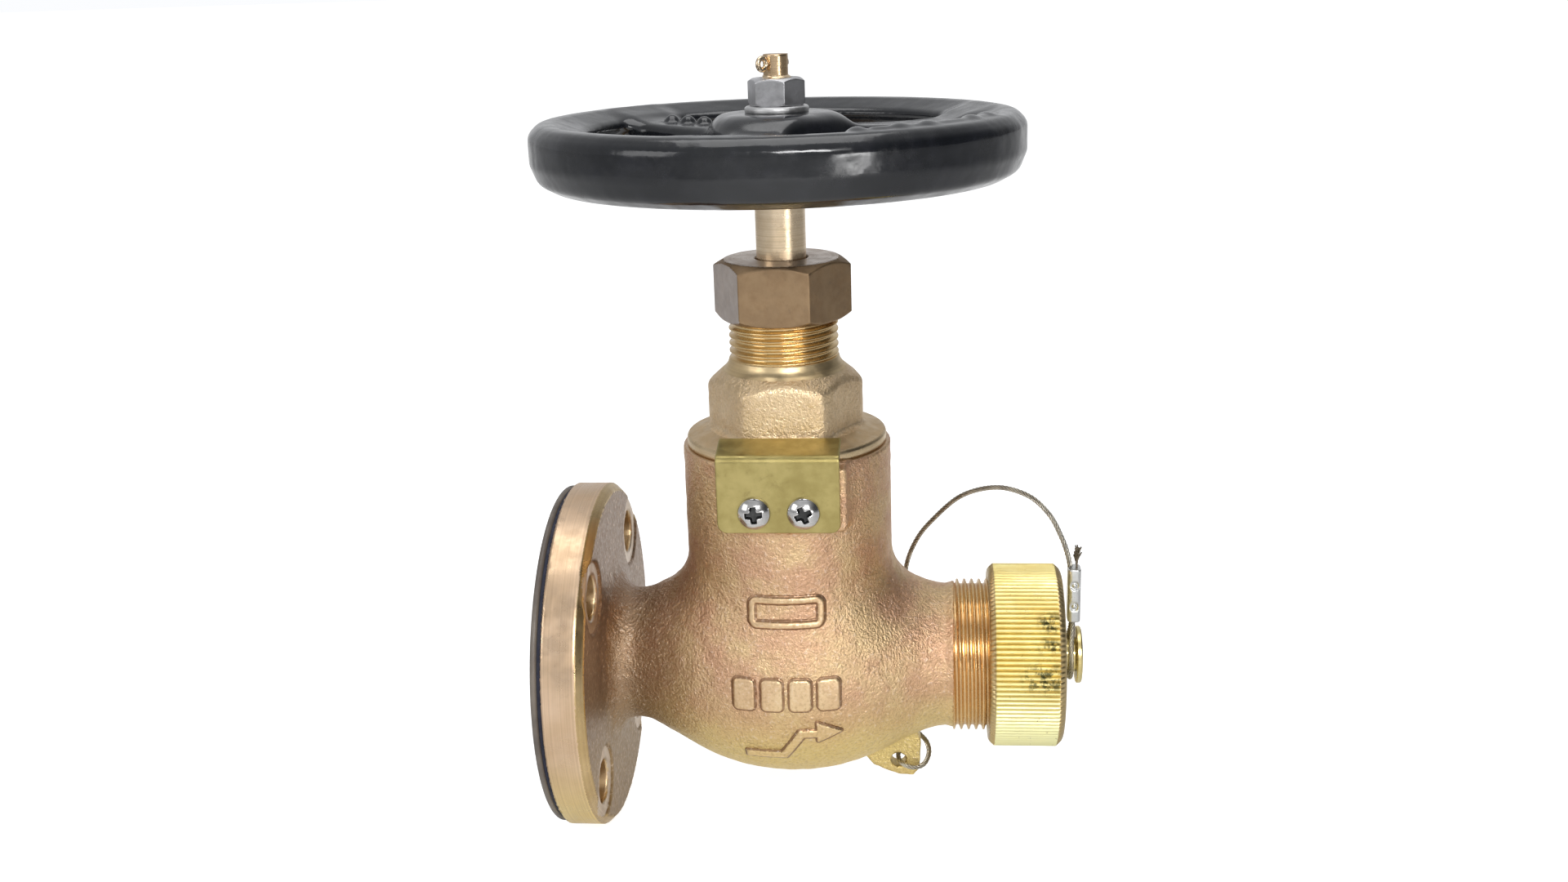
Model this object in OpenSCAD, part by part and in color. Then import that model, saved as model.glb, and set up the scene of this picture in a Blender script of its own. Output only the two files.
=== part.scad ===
// Flanged globe hose valve: screw-down stop valve with a bolted inlet flange,
// a threaded hose outlet closed by a knurled cap on a wire lanyard.
// Origin: centre of the inlet mating face. +X along the flow, +Z along the stem.

/* [Inlet flange] */
// Radius of the flange rim
flange_r = 47.5; // [46.5:0.5:49]
// Thickness of the bronze flange
flange_t = 11; // [10:0.5:12]
// Bolt circle diameter
bolt_pcd = 75; // [73:0.5:76]
// Radius of each bolt hole
bolt_r = 6; // [5:0.25:6.5]
// Radius of the inlet bore
bore_r = 12.5; // [11:0.5:13]
// Thickness of the joint gasket on the flange face
gasket_t = 1; // [0.8:0.1:1.5]
// Thickness of the face guard ring over the gasket
guard_t = 2; // [1.5:0.1:2.5]

/* [Body] */
// Largest radius of the belly about the pipe axis
belly_r = 32.1; // [31.5:0.1:33]
// Outer radius of the upright neck
neck_r = 27.7; // [27.5:0.1:28.5]
// Height of the neck's top face above the pipe axis
neck_top = 62; // [61.5:0.1:62.5]
// Distance from the stem axis back to the flange's rear face
rear_x = 49.5; // [48.5:0.5:51]
// Crest radius of the hose thread
hose_r = 20.66; // [20.4:0.02:20.8]

/* [Stem and handwheel] */
// Spindle radius above the gland
spindle_r = 6.5; // [6:0.1:6.6]
// Outer radius of the handwheel
wheel_r = 62.9; // [60:0.1:65]
// Height of the handwheel rim's middle
rim_z = 139.5; // [138:0.5:140]

/* [Hidden] */
$fn = 96;
stem_x = guard_t + gasket_t + flange_t + rear_x;
arc_r = 56;
arc_off = belly_r - arc_r;
inlet_neck_r = 16.2;
outlet_neck_r = 19.3;
inner_off = 5;
outlet_r = 14;
hose_x0 = 44.3;
hose_x1 = 68.3;
hose_pitch = 2;
seat_z = 8;
web_t = 4.5;
chamber_r = 21;
skirt_r = 23.8;
skirt_z = 46;
collar_r = 26.6;
collar_top = 64.6;
hex_af = 37;
hex_corner_r = 20.6;
hex_turn = 3.1;
hex_z = 66.4;
gland_thread_r = 14.4;
box_r = 10.5;
box_z = 89;
gland_top = 106;
nut_af = 31.5;
nut_turn = -2.9;
nut_z0 = 95.5;
nut_z1 = 111.2;
stem_thread_r = 8;
stem_pitch = 3;
wheel_seat_z = 128;
hub_top = 147.9;
hub_r = 17;
rim_w = 15.4;
rim_h = 16.6;
rim_round = 5;
spoke_turn = 20;
plate_y = -29.5;
plate_half = 15.7;
plate_t = 1;
screw_z = 50.9;
screw_x = [-6.2, 6.4];
cap_r = 25;
cap_x0 = 53.7;
cap_x1 = 73.6;
ridges = 90;
stud_r = 4.5;
stud_x = 77.6;
pin_z = 160.3;
pin_turn = 53;
wire_r = 0.7;
lug_x = 28.9;
lug_z = -31.5;
sleeve_x = 76.9;
// Lanyard route from the lug sleeve, behind the outlet, over and down to the cap sleeve
wire_route = [
  [32.5, 16, -24], [32, 21, -19], [31, 25, -10], [30.5, 26.5, 2], [31, 26, 15],
  [34, 25, 24], [39, 22.5, 31.5], [47, 18, 40], [56.5, 13, 44], [64.8, 8, 43.2],
  [70.3, 4.2, 39.1], [73.6, 1.6, 33.2], [75.2, 0.3, 28.6], [75.8, 0, 25.65]
];
// Loop through the lug hole
lug_loop_route = [
  [32.4, 8.9, -26.4], [34.8, 5.8, -27.4], [36.9, 2.6, -28.4], [37.5, 0, -30.6],
  [36, -2.8, -32.6], [33, -3.9, -33], [30, -3.4, -32], [28.9, 0, -31.5],
  [29.4, 3.6, -30.6], [30.6, 6.8, -28.2], [31.4, 9, -26.5]
];
// Loop round the cap stud, hanging from the cap sleeve
cap_loop_route = [
  [sleeve_x - 0.2, 1.3, 10.4], [76.4, 3, 6.8], [76.1, 5.2, 3.2], [76.1, 5.7, -0.6],
  [76.1, 4.2, -4.5], [76.1, 0, -6.3], [76.1, -4.2, -4.5], [76.1, -5.7, -0.6],
  [76.1, -5.2, 3.2], [76.4, -3, 6.8], [sleeve_x - 0.2, -1.3, 10.4]
];

// ---- helpers ----

module stem() {
  translate([stem_x, 0, 0]) children();
}

// Turns a profile drawn as [radius, distance] about the pipe axis
module turn_x() {
  rotate([0, 90, 0]) rotate_extrude() children();
}

module rod_x(x0, x1, r) {
  translate([x0, 0, 0]) rotate([0, 90, 0]) cylinder(h = x1 - x0, r = r);
}

module rod_z(z0, z1, r) {
  translate([0, 0, z0]) cylinder(h = z1 - z0, r = r);
}

// Profile of a ring-grooved thread: r crest, depth d, from a to b at the given pitch
module thread_profile(r, d, a, b, pitch) {
  count = floor((b - a) / pitch);
  crest = pitch * 0.22;
  points = [
    for (i = [0:count - 1]) each [
      [r - d, a + i * pitch],
      [r, a + i * pitch + pitch * 0.3],
      [r, a + i * pitch + pitch * 0.3 + crest],
      [r - d, a + i * pitch + pitch * 0.6 + crest]
    ]
  ];
  polygon(concat([[0, a]], points, [[r - d, b], [0, b]]));
}

// Hexagonal prism with turned chamfers of the given heights on its low and high ends
module hex_nut(af, z0, z1, low, high) {
  corner = af / sqrt(3);
  intersection() {
    translate([0, 0, z0]) cylinder(h = z1 - z0, r = corner, $fn = 6);
    rotate_extrude() polygon([
      [0, z0], [corner - low * 1.7, z0], [corner + 0.01, z0 + low],
      [corner + 0.01, z1 - high], [corner - high * 1.7, z1], [0, z1]
    ]);
  }
}

// Fillet between the belly arc and a straight neck: profile [radius, distance]
module belly_fillet(neck, r, side) {
  cr = neck + r;
  ca = sqrt(pow(arc_r + r, 2) - pow(cr - arc_off, 2));
  f = arc_r / (arc_r + r);
  touch = [arc_off + (cr - arc_off) * f, ca * f];
  difference() {
    polygon([
      [neck - 3, side * ca], [cr, side * ca], [touch[0], side * touch[1]],
      [neck - 3, side * (touch[1] - 6)]
    ]);
    translate([cr, side * ca]) circle(r = r);
  }
}

function unit(v) = v / norm(v);

// Point t of a smooth curve through the route, t from 0 to len(route) - 1
function curve(p, t) =
  let(
    n = len(p) - 1,
    i = min(floor(t), n - 1),
    u = t - i,
    a = i > 0 ? p[i - 1] : 2 * p[0] - p[1],
    b = p[i],
    c = p[i + 1],
    d = i + 2 <= n ? p[i + 2] : 2 * p[n] - p[n - 1]
  )
  0.5 * (2 * b + (c - a) * u + (2 * a - 5 * b + 4 * c - d) * u * u
    + (3 * b - a - 3 * c + d) * u * u * u);

function carry(n, t) = unit(n - (n * t) * t);

function normals(tangents, i, n) =
  i >= len(tangents) ? [] :
  let(m = carry(n, tangents[i])) concat([m], normals(tangents, i + 1, m));

// Round wire swept along a route: 8 sides, the given number of rings
module wire(route, r, rings) {
  last = len(route) - 1;
  centres = [for (i = [0:rings - 1]) curve(route, last * i / (rings - 1))];
  tangents = [
    for (i = [0:rings - 1])
      unit(centres[min(i + 1, rings - 1)] - centres[max(i - 1, 0)])
  ];
  side = normals(tangents, 0, [0.31, 0.53, 0.79]);
  points = [
    for (i = [0:rings - 1]) for (k = [0:7])
      centres[i] + r * (cos(45 * k) * side[i]
        + sin(45 * k) * cross(tangents[i], side[i]))
  ];
  walls = [
    for (i = [0:rings - 2]) for (k = [0:7])
      [i * 8 + k, i * 8 + (k + 1) % 8, (i + 1) * 8 + (k + 1) % 8, (i + 1) * 8 + k]
  ];
  split = [for (q = walls) each [[q[0], q[2], q[1]], [q[0], q[3], q[2]]]];
  ends = [[for (k = [0:7]) k], [for (k = [7:-1:0]) (rings - 1) * 8 + k]];
  polyhedron(points = points, faces = concat(split, ends), convexity = 6);
}

// Bolt positions of the inlet flange
module bolt_spots() {
  for (a = [45, 135, 225, 315])
    rotate([a, 0, 0]) translate([0, 0, bolt_pcd / 2]) children();
}

// ---- valve body ----

module belly() {
  turn_x() intersection() {
    translate([arc_off, 0]) circle(r = arc_r);
    translate([0, -45]) square([60, 90]);
  }
}

// Concave sweep between the upright neck and the belly, kept to the two sides
module neck_flare() {
  r = 12;
  cr = neck_r + r;
  cz = arc_off + sqrt(pow(arc_r + r, 2) - pow(cr, 2));
  f = arc_r / (arc_r + r);
  intersection() {
    rotate_extrude() difference() {
      polygon([
        [neck_r - 2, cz], [cr, cz], [cr * f, arc_off + (cz - arc_off) * f],
        [cr * f - 7, arc_off + (cz - arc_off) * f - 3], [neck_r - 2, cz - 12]
      ]);
      translate([cr, cz]) circle(r = r);
    }
    rod_x(-50, 50, 34.5);
  }
}

module lug() {
  difference() {
    translate([0, 2.5, 0]) rotate([90, 0, 0]) linear_extrude(5)
      polygon([
        [16, -26], [21.9, -32.8], [29.7, -36.4], [32.5, -36.4], [34.8, -34.7],
        [35.3, -26.3], [33.5, -19], [22, -20]
      ]);
    translate([lug_x, 5, lug_z]) rotate([90, 0, 0]) cylinder(h = 10, r = 2.1);
  }
}

// Raised flow arrow and two plain raised tablets cast on the front of the belly
module cast_marks() {
  intersection() {
    rotate([90, 0, 0]) linear_extrude(40) {
      polygon([
        [-10.6, -16.4], [-1, -16.4], [4, -8.6], [8.4, -8.6], [8.4, -6],
        [14.7, -8.8], [8.4, -12.4], [8.4, -10.4], [3.2, -10.4], [-1.8, -18.2],
        [-10.6, -18.2]
      ]);
      difference() {
        translate([-15, -2.6]) square([31.4, 8.8]);
        translate([-13.4, -1]) square([28.2, 5.6]);
      }
      difference() {
        translate([-8.6, 18.6]) square([19.8, 8]);
        translate([-7, 20.2]) square([16.6, 4.8]);
      }
    }
    union() {
      turn_x() intersection() {
        translate([arc_off, 0]) circle(r = arc_r + 0.7);
        translate([0, -40]) square([60, 80]);
      }
      rod_z(10, 40, neck_r + 0.7);
    }
  }
}

// Hollow of the belly without the web that carries the seat: the web runs down from
// the inlet side, across under the seat and down to the outlet side
module inner_chamber() {
  difference() {
    turn_x() intersection() {
      translate([arc_off, 0]) circle(r = arc_r - inner_off);
      translate([0, -34]) square([60, 68]);
    }
    translate([0, 45, 0]) rotate([90, 0, 0]) linear_extrude(90)
      polygon([
        [-40, 26], [-17.5, 6.5], [19, 6.5], [44, -20], [38, -24],
        [17, 6.5 - web_t], [-19, 6.5 - web_t], [-44, 20]
      ]);
    rod_z(0, seat_z, bore_r + 3.5);
  }
}

module valve_body() color([0.72, 0.53, 0.4]) {
  stem() difference() {
    union() {
      belly();
      turn_x() belly_fillet(inlet_neck_r, 8, -1);
      turn_x() belly_fillet(outlet_neck_r, 8, 1);
      rod_x(-rear_x, -30, inlet_neck_r);
      turn_x() difference() {
        translate([0, -rear_x - 1]) square([inlet_neck_r + 7.5, 8.5]);
        translate([inlet_neck_r + 7.5, 7.5 - rear_x]) circle(r = 7.5);
      }
      turn_x() polygon([
        [0, -rear_x - flange_t], [flange_r, -rear_x - flange_t],
        [flange_r, -rear_x - 2], [flange_r - 2, -rear_x], [0, -rear_x]
      ]);
      rod_x(30, hose_x0, outlet_neck_r);
      turn_x() thread_profile(hose_r, 1.15, hose_x0, hose_x1, hose_pitch);
      rod_z(0, neck_top, neck_r);
      neck_flare();
      translate([-15.3, plate_y + plate_t, 48.4])
        cube([32.6, 14, neck_top - 48.4]);
      lug();
      cast_marks();
    }
    inner_chamber();
    rod_z(-10, seat_z + 1, bore_r);
    rod_z(15, skirt_z + 1, chamber_r);
    rod_z(skirt_z - 4, neck_top + 1, skirt_r + 0.1);
    rod_z(neck_top - 1, neck_top + 1, 25.5);
    rod_x(-rear_x - flange_t - 1, -30, bore_r);
    rod_x(34, hose_x1 + 1, outlet_r);
    bolt_spots() rod_x(-rear_x - flange_t - 1, -rear_x + 8, bolt_r);
    bolt_spots() rod_x(-rear_x - 0.6, -rear_x + 6, 9.6);
    for (x = screw_x)
      translate([x, plate_y + 4.6, screw_z]) rotate([90, 0, 0]) cylinder(h = 8, r = 2.05);
  }
}

module ring_plate(x0, x1, r) {
  difference() {
    rod_x(x0, x1, r);
    rod_x(x0 - 1, x1 + 1, bore_r + 1);
    bolt_spots() rod_x(x0 - 1, x1 + 1, bolt_r);
  }
}

module flange_gasket() color([0.06, 0.08, 0.2]) {
  ring_plate(guard_t, guard_t + gasket_t, flange_r - 1.2);
}

module flange_guard() color([0.74, 0.72, 0.66]) {
  ring_plate(0, guard_t, flange_r - 0.7);
}

// ---- bonnet and stuffing box ----

module bonnet() color([0.74, 0.56, 0.4]) {
  stem() difference() {
    union() {
      rotate_extrude() thread_profile(skirt_r, 1.1, skirt_z, neck_top - 2, 2);
      rod_z(neck_top - 3, neck_top + 0.5, skirt_r - 1.1);
      rotate_extrude() polygon([
        [0, neck_top], [collar_r - 0.5, neck_top], [collar_r, neck_top + 0.5],
        [collar_r, collar_top - 0.5], [collar_r - 0.8, collar_top],
        [hex_af / sqrt(3), hex_z], [0, hex_z]
      ]);
      rotate([0, 0, hex_turn]) intersection() {
        rod_z(hex_z - 1, 84, hex_corner_r);
        translate([0, 0, hex_z - 1]) cylinder(h = 18, r = hex_af / sqrt(3), $fn = 6);
        rotate_extrude() polygon([
          [0, hex_z - 1], [21, hex_z - 1], [21, 77.8], [14.6, 83.4], [0, 83.4]
        ]);
      }
      rod_z(80, 85.4, 14.5);
      rotate_extrude() thread_profile(gland_thread_r, 1.1, 85.4, gland_top, 2);
    }
    rod_z(skirt_z - 1, 53, 18);
    rod_z(50, 86, stem_thread_r + 0.08);
    rod_z(80, box_z + 1, spindle_r + 0.3);
    rod_z(box_z, gland_top + 1, box_r);
  }
}

module bonnet_gasket() color([0.3, 0.3, 0.3]) {
  stem() difference() {
    rod_z(neck_top - 1, neck_top, 25.4);
    rod_z(neck_top - 2, neck_top + 1, skirt_r + 0.1);
  }
}

module packing_rings() color([0.25, 0.25, 0.27]) {
  stem() for (i = [0:3]) difference() {
    rod_z(box_z + i * 3, box_z + i * 3 + 2.98, box_r - 0.05);
    rod_z(box_z - 1, box_z + 20, spindle_r + 0.05);
  }
}

module packing_gland() color([0.78, 0.6, 0.38]) {
  stem() difference() {
    union() {
      rod_z(101, gland_top + 0.1, box_r - 0.1);
      rod_z(gland_top + 0.1, 108, 12);
    }
    rod_z(100, 110, spindle_r + 0.1);
  }
}

module gland_nut() color([0.62, 0.47, 0.3]) {
  stem() difference() {
    rotate([0, 0, nut_turn]) hex_nut(nut_af, nut_z0, nut_z1, 1.4, 1.9);
    rod_z(nut_z0 - 1, 108, gland_thread_r + 0.1);
    rod_z(107, nut_z1 + 1, spindle_r + 0.3);
  }
}

// ---- lock plate ----

// Points on an arc of radius r about c, from angle a to b
function arc(c, r, a, b, n = 8) =
  [for (i = [0:n]) c + r * [cos(a + (b - a) * i / n), sin(a + (b - a) * i / n)]];

module lock_plate() color([0.72, 0.62, 0.3]) {
  bend = [plate_y + 2, 63.9];
  tilt = 13.9;
  along = [cos(tilt), sin(tilt)];
  up = [-sin(tilt), cos(tilt)];
  corner = 2.5;
  low = 45.5;
  side = concat(
    [[plate_y, low]],
    arc(bend, 2, 180, 90 + tilt, 6),
    [bend + 8.8 * along + 2 * up, bend + 8.8 * along + (2 - plate_t) * up],
    arc(bend, 2 - plate_t, 90 + tilt, 180, 6),
    [[plate_y + plate_t, low]]
  );
  front = concat(
    arc([-plate_half + corner, low + corner], corner, 180, 270),
    arc([plate_half - corner, low + corner], corner, 270, 360),
    [[plate_half, low + 30], [-plate_half, low + 30]]
  );
  stem() difference() {
    intersection() {
      translate([-plate_half - 1, 0, 0]) rotate([90, 0, 90])
        linear_extrude(2 * plate_half + 2) polygon(side);
      rotate([90, 0, 0]) linear_extrude(40) polygon(front);
    }
    for (x = screw_x)
      translate([x, plate_y + 4, screw_z]) rotate([90, 0, 0]) cylinder(h = 8, r = 2.2);
  }
}

module lock_screws() color([0.8, 0.8, 0.8]) {
  stem() for (x = screw_x) translate([x, plate_y, screw_z]) rotate([90, 0, 0])
    difference() {
      union() {
        translate([0, 0, -4.2]) cylinder(h = 4.3, r = 2);
        intersection() {
          cylinder(h = 3, r = 4.15);
          translate([0, 0, -3.2]) sphere(r = 5.7);
        }
      }
      for (a = [10, 100]) rotate(a)
        translate([-2.3, -0.45, 1.2]) cube([4.6, 0.9, 2]);
    }
}

// ---- moving trim ----

module disc() color([0.72, 0.56, 0.4]) {
  stem() difference() {
    rotate_extrude() polygon([
      [0, seat_z], [bore_r + 2.6, seat_z], [bore_r + 3.2, seat_z + 0.8],
      [bore_r + 3.2, 13.5], [bore_r + 1.5, 14.5], [11, 15.5], [11, 24], [0, 24]
    ]);
    rod_z(14, 25, 8.2);
  }
}

module disc_nut() color([0.76, 0.6, 0.4]) {
  stem() difference() {
    union() {
      rod_z(18, 24.5, 8.1);
      hex_nut(19, 24, 27, 0.3, 0.8);
    }
    rod_z(17, 28, 4.5);
  }
}

module spindle() color([0.8, 0.64, 0.42]) {
  stem() difference() {
    union() {
      rod_z(14.1, 17.8, 6);
      rod_z(17, 28, 4.2);
      rod_z(27.5, 41, 6.8);
      rotate_extrude() thread_profile(stem_thread_r, 1.2, 40, 76, stem_pitch);
      rod_z(75, wheel_seat_z, spindle_r);
      translate([-5, -5, wheel_seat_z - 1]) cube([10, 10, hub_top - wheel_seat_z + 0.8]);
      rotate_extrude() thread_profile(4, 0.65, hub_top - 0.3, 157.4, 1.25);
      rod_z(157, 162.6, 3.15);
    }
    rotate([0, 0, pin_turn]) translate([0, 0, pin_z]) rod_x(-6, 6, 0.8);
  }
}

module rim_profile() {
  translate([wheel_r - rim_w + rim_round, rim_z - rim_h / 2 + rim_round])
    offset(r = rim_round) square([rim_w - 2 * rim_round, rim_h - 2 * rim_round]);
}

module handwheel() color([0.02, 0.02, 0.025]) {
  spoke_top = 144.5;
  stem() difference() {
    union() {
      rotate_extrude() rim_profile();
      rotate_extrude() union() {
        translate([0, wheel_seat_z]) square([hub_r, hub_top - 3 - wheel_seat_z]);
        translate([0, hub_top - 4]) square([hub_r - 3, 4]);
        translate([hub_r - 3, hub_top - 3]) circle(r = 3);
      }
      for (k = [0:2]) rotate([0, 0, spoke_turn + 120 * k])
        translate([0, 0, spoke_top - 7]) linear_extrude(7)
          polygon([[12, -9], [30, -7], [52, -8], [52, 8], [30, 7], [12, 9]]);
    }
    translate([-5.05, -5.05, wheel_seat_z - 1]) cube([10.1, 10.1, 22]);
  }
}

module wheel_washer() color([0.6, 0.6, 0.6]) {
  stem() difference() {
    rod_z(hub_top, 149.9, 8.2);
    rod_z(hub_top - 1, 151, 4.2);
  }
}

module wheel_nut() color([0.5, 0.5, 0.52]) {
  stem() difference() {
    rotate([0, 0, -9]) hex_nut(13, 149.9, 156.8, 0.5, 0.8);
    rod_z(149, 158, 4.03);
  }
}

module split_pin() color([0.82, 0.65, 0.3]) {
  stem() rotate([0, 0, pin_turn]) translate([0, 0, pin_z]) {
    rod_x(-3.8, 4.3, 0.75);
    translate([-5, 0, 0]) rotate([90, 0, 0]) rotate_extrude()
      translate([1.4, 0]) circle(r = 0.65);
    translate([3.85, 0, -0.3]) cylinder(h = 2.5, r = 0.62);
  }
}

// ---- outlet cap ----

module knurl_outline() {
  polygon([
    for (i = [0:2 * ridges - 1])
      let(a = 180 * i / ridges, r = i % 2 == 0 ? cap_r : cap_r - 0.55)
      [r * cos(a), r * sin(a)]
  ]);
}

module cap() color([0.86, 0.74, 0.3]) {
  stem() difference() {
    intersection() {
      translate([cap_x0, 0, 0]) rotate([0, 90, 0])
        linear_extrude(cap_x1 - cap_x0) knurl_outline();
      turn_x() polygon([
        [0, cap_x0], [cap_r - 1.5, cap_x0], [cap_r + 0.01, cap_x0 + 1.4],
        [cap_r + 0.01, cap_x1 - 1.7], [cap_r - 2, cap_x1], [0, cap_x1]
      ]);
    }
    rod_x(cap_x0 - 1, 70.5, hose_r + 0.1);
    rod_x(70, cap_x1 + 1, 3);
  }
}

module cap_gasket() color([0.12, 0.12, 0.12]) {
  stem() difference() {
    rod_x(hose_x1, 70.5, 20.4);
    rod_x(hose_x1 - 1, 71, 5.5);
  }
}

module cap_stud() color([0.8, 0.66, 0.3]) {
  stem() {
    rod_x(69.5, 70.5, 5);
    rod_x(70.4, cap_x1 + 0.1, 2.98);
    rod_x(cap_x1, stud_x + 0.1, stud_r);
    turn_x() polygon([
      [0, stud_x], [7.8, stud_x], [7.8, stud_x + 1.2], [7.4, stud_x + 1.6],
      [0, stud_x + 1.6]
    ]);
  }
}

// ---- lanyard ----

// Flat oval crimped sleeve along Z
module sleeve(length) {
  difference() {
    intersection() {
      translate([-1.7, -2.7, 0]) cube([3.4, 5.4, length]);
      cylinder(h = length, r = 2.75);
    }
    for (z = [length * 0.28, length * 0.68]) translate([0, 0, z]) rotate([0, 90, 0])
      for (s = [-1, 1]) translate([0, 0, s * 2.6]) sphere(r = 1.4);
  }
}

module cap_sleeve() color([0.72, 0.73, 0.74]) {
  stem() translate([sleeve_x, 0, 10.4]) sleeve(15.1);
}

module cap_loop() color([0.5, 0.48, 0.45]) {
  stem() wire(cap_loop_route, wire_r, 40);
}

module lanyard_wire() color([0.5, 0.48, 0.45]) {
  stem() wire(wire_route, wire_r, 60);
}

module lug_sleeve() color([0.72, 0.73, 0.74]) {
  start = [31.9, 9, -26.4];
  stop = wire_route[0];
  length = norm(stop - start);
  dir = (stop - start) / length;
  stem() translate(start) rotate([0, 0, atan2(dir[1], dir[0])])
    rotate([0, acos(dir[2]), 0]) sleeve(length);
}

module lug_loop() color([0.5, 0.48, 0.45]) {
  stem() wire(lug_loop_route, wire_r, 34);
}

valve_body();
flange_gasket();
flange_guard();
bonnet();
bonnet_gasket();
packing_rings();
packing_gland();
gland_nut();
lock_plate();
lock_screws();
disc();
disc_nut();
spindle();
handwheel();
wheel_washer();
wheel_nut();
split_pin();
cap();
cap_gasket();
cap_stud();
cap_sleeve();
cap_loop();
lanyard_wire();
lug_sleeve();
lug_loop();
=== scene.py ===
import bmesh
import bpy
import math
import numpy as np
from mathutils import Matrix, Vector


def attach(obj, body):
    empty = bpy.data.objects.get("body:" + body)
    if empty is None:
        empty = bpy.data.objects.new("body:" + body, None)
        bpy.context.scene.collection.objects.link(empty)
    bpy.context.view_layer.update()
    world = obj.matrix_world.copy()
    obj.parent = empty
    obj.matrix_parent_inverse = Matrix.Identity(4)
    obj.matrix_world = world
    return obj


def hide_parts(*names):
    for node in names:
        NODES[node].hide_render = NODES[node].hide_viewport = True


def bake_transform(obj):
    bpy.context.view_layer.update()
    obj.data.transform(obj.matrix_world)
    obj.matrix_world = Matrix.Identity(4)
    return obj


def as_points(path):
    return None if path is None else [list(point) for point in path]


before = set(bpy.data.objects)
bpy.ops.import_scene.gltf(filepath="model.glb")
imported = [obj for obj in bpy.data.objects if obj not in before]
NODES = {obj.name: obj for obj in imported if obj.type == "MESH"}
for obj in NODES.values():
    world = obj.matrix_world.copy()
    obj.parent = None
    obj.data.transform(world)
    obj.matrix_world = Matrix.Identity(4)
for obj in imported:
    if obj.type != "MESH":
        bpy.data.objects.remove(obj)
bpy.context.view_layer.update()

MM = 0.001
STEM_X = 63.5  # mm, from the flange's mating face to the stem axis
FLOOR_Z = -0.0476
FAR = 1e9  # larger than any distance in the model

# Lengths below are in millimetres about the stem axis (z) and the pipe axis (x).
# The belly is an arc turned about the pipe axis.
ARC_OFF, ARC_R, CHAMBER_R = 23.9, 56, 51
INLET_NECK_R, OUTLET_NECK_R, NECK_R, NECK_TOP = 16.2, 19.2, 27.7, 62
FLANGE_R, FLANGE_FACE, FLANGE_BACK = 47.5, -60.5, -49.5
INLET_R, OUTLET_R, SEAT_R = 12.5, 14, 12.5
BOLT = 75 / 2 / math.sqrt(2)  # each bolt hole's distance from the pipe axis, along Y and along Z
BOLT_R, SPOT_R = 6, 9.6
GUARD_R, GUARD_X0, GUARD_X1, GUARD_BORE = 46.8, -63.5, -61.5, 13.5
HOSE_X0, HOSE_X1, HOSE_CREST, HOSE_PITCH = 44.6, 68.3, 20.66, 2.0
LUG_X, LUG_Z, LUG_HOLE_R = 28.9, -31.5, 2.1
HEX_AF, HEX_CORNER_R, HEX_TURN = 37, 20.6, 3.1
COLLAR_R, SKIRT_R, SKIRT_BORE, GLAND_THREAD_R, BOX_R = 26.6, 23.8, 18, 14.4, 10.5
NUT_AF, NUT_TURN, NUT_Z0, NUT_Z1 = 31.5, -2.9, 95.5, 111.2
HUB_BOTTOM, HUB_TOP, HUB_R, SQUARE_HOLE = 128, 147.9, 16.6, 5.05
WASHER_TOP, WHEEL_NUT_TOP = 149.9, 156.8
STUB_R, STUB_TOP, PIN_Z, PIN_TURN = 3.15, 162.6, 160.3, math.radians(53)
CAP_R, CAP_X0, CAP_X1, CAP_FLOOR, CAP_BORE, KNURLS = 24.9, 53.7, 73.6, 70.4, 20.8, 110
PLATE_Y, PLATE_HALF, SCREW_Z, SCREW_X, SCREW_TURNS = -29.5, 15.7, 50.9, (-6.2, 6.4), (-6, 14)
SLEEVE_X, SLEEVE_Z, WIRE_D = 76.9, 10.4, 1.4


def place(points):
    """Millimetres about the stem and pipe axes to metres in the row frame."""
    return (np.asarray(points, float) + [STEM_X, 0, 0]) * MM


def cell(fine):
    return fine


# ---------------------------------------------------------------- camera

CAMERA_AT = (38.48, -408.92, 180.09)


def make_camera():
    yaw, pitch, roll = -0.0958, 0.2813, -0.0315
    f_px, width_px, sensor = 1949.6, 1920, 36.0
    fwd = Vector((math.sin(yaw) * math.cos(pitch), math.cos(yaw) * math.cos(pitch), -math.sin(pitch)))
    right = Vector((math.cos(yaw), -math.sin(yaw), 0))
    up = right.cross(fwd)
    r2 = right * math.cos(roll) + up * math.sin(roll)
    u2 = -right * math.sin(roll) + up * math.cos(roll)
    data = bpy.data.cameras.new("camera")
    data.sensor_width = sensor
    data.lens = f_px / width_px * sensor
    data.clip_start, data.clip_end = 0.01, 50
    cam = bpy.data.objects.new("camera", data)
    turn = Matrix((r2, u2, -fwd)).transposed()
    cam.matrix_world = Matrix.Translation(place(CAMERA_AT)) @ turn.to_4x4()
    bpy.context.scene.collection.objects.link(cam)
    bpy.context.scene.camera = cam


make_camera()


# ---------------------------------------------------------------- meshes

def link(name, verts, faces):
    """A mesh object from row-frame metres."""
    me = bpy.data.meshes.new(name)
    me.from_pydata([tuple(v) for v in verts], [], [tuple(int(i) for i in f) for f in faces])
    me.validate()
    me.update()
    me.polygons.foreach_set("use_smooth", [True] * len(me.polygons))
    ob = bpy.data.objects.new(name, me)
    bpy.context.scene.collection.objects.link(ob)
    return ob


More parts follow.
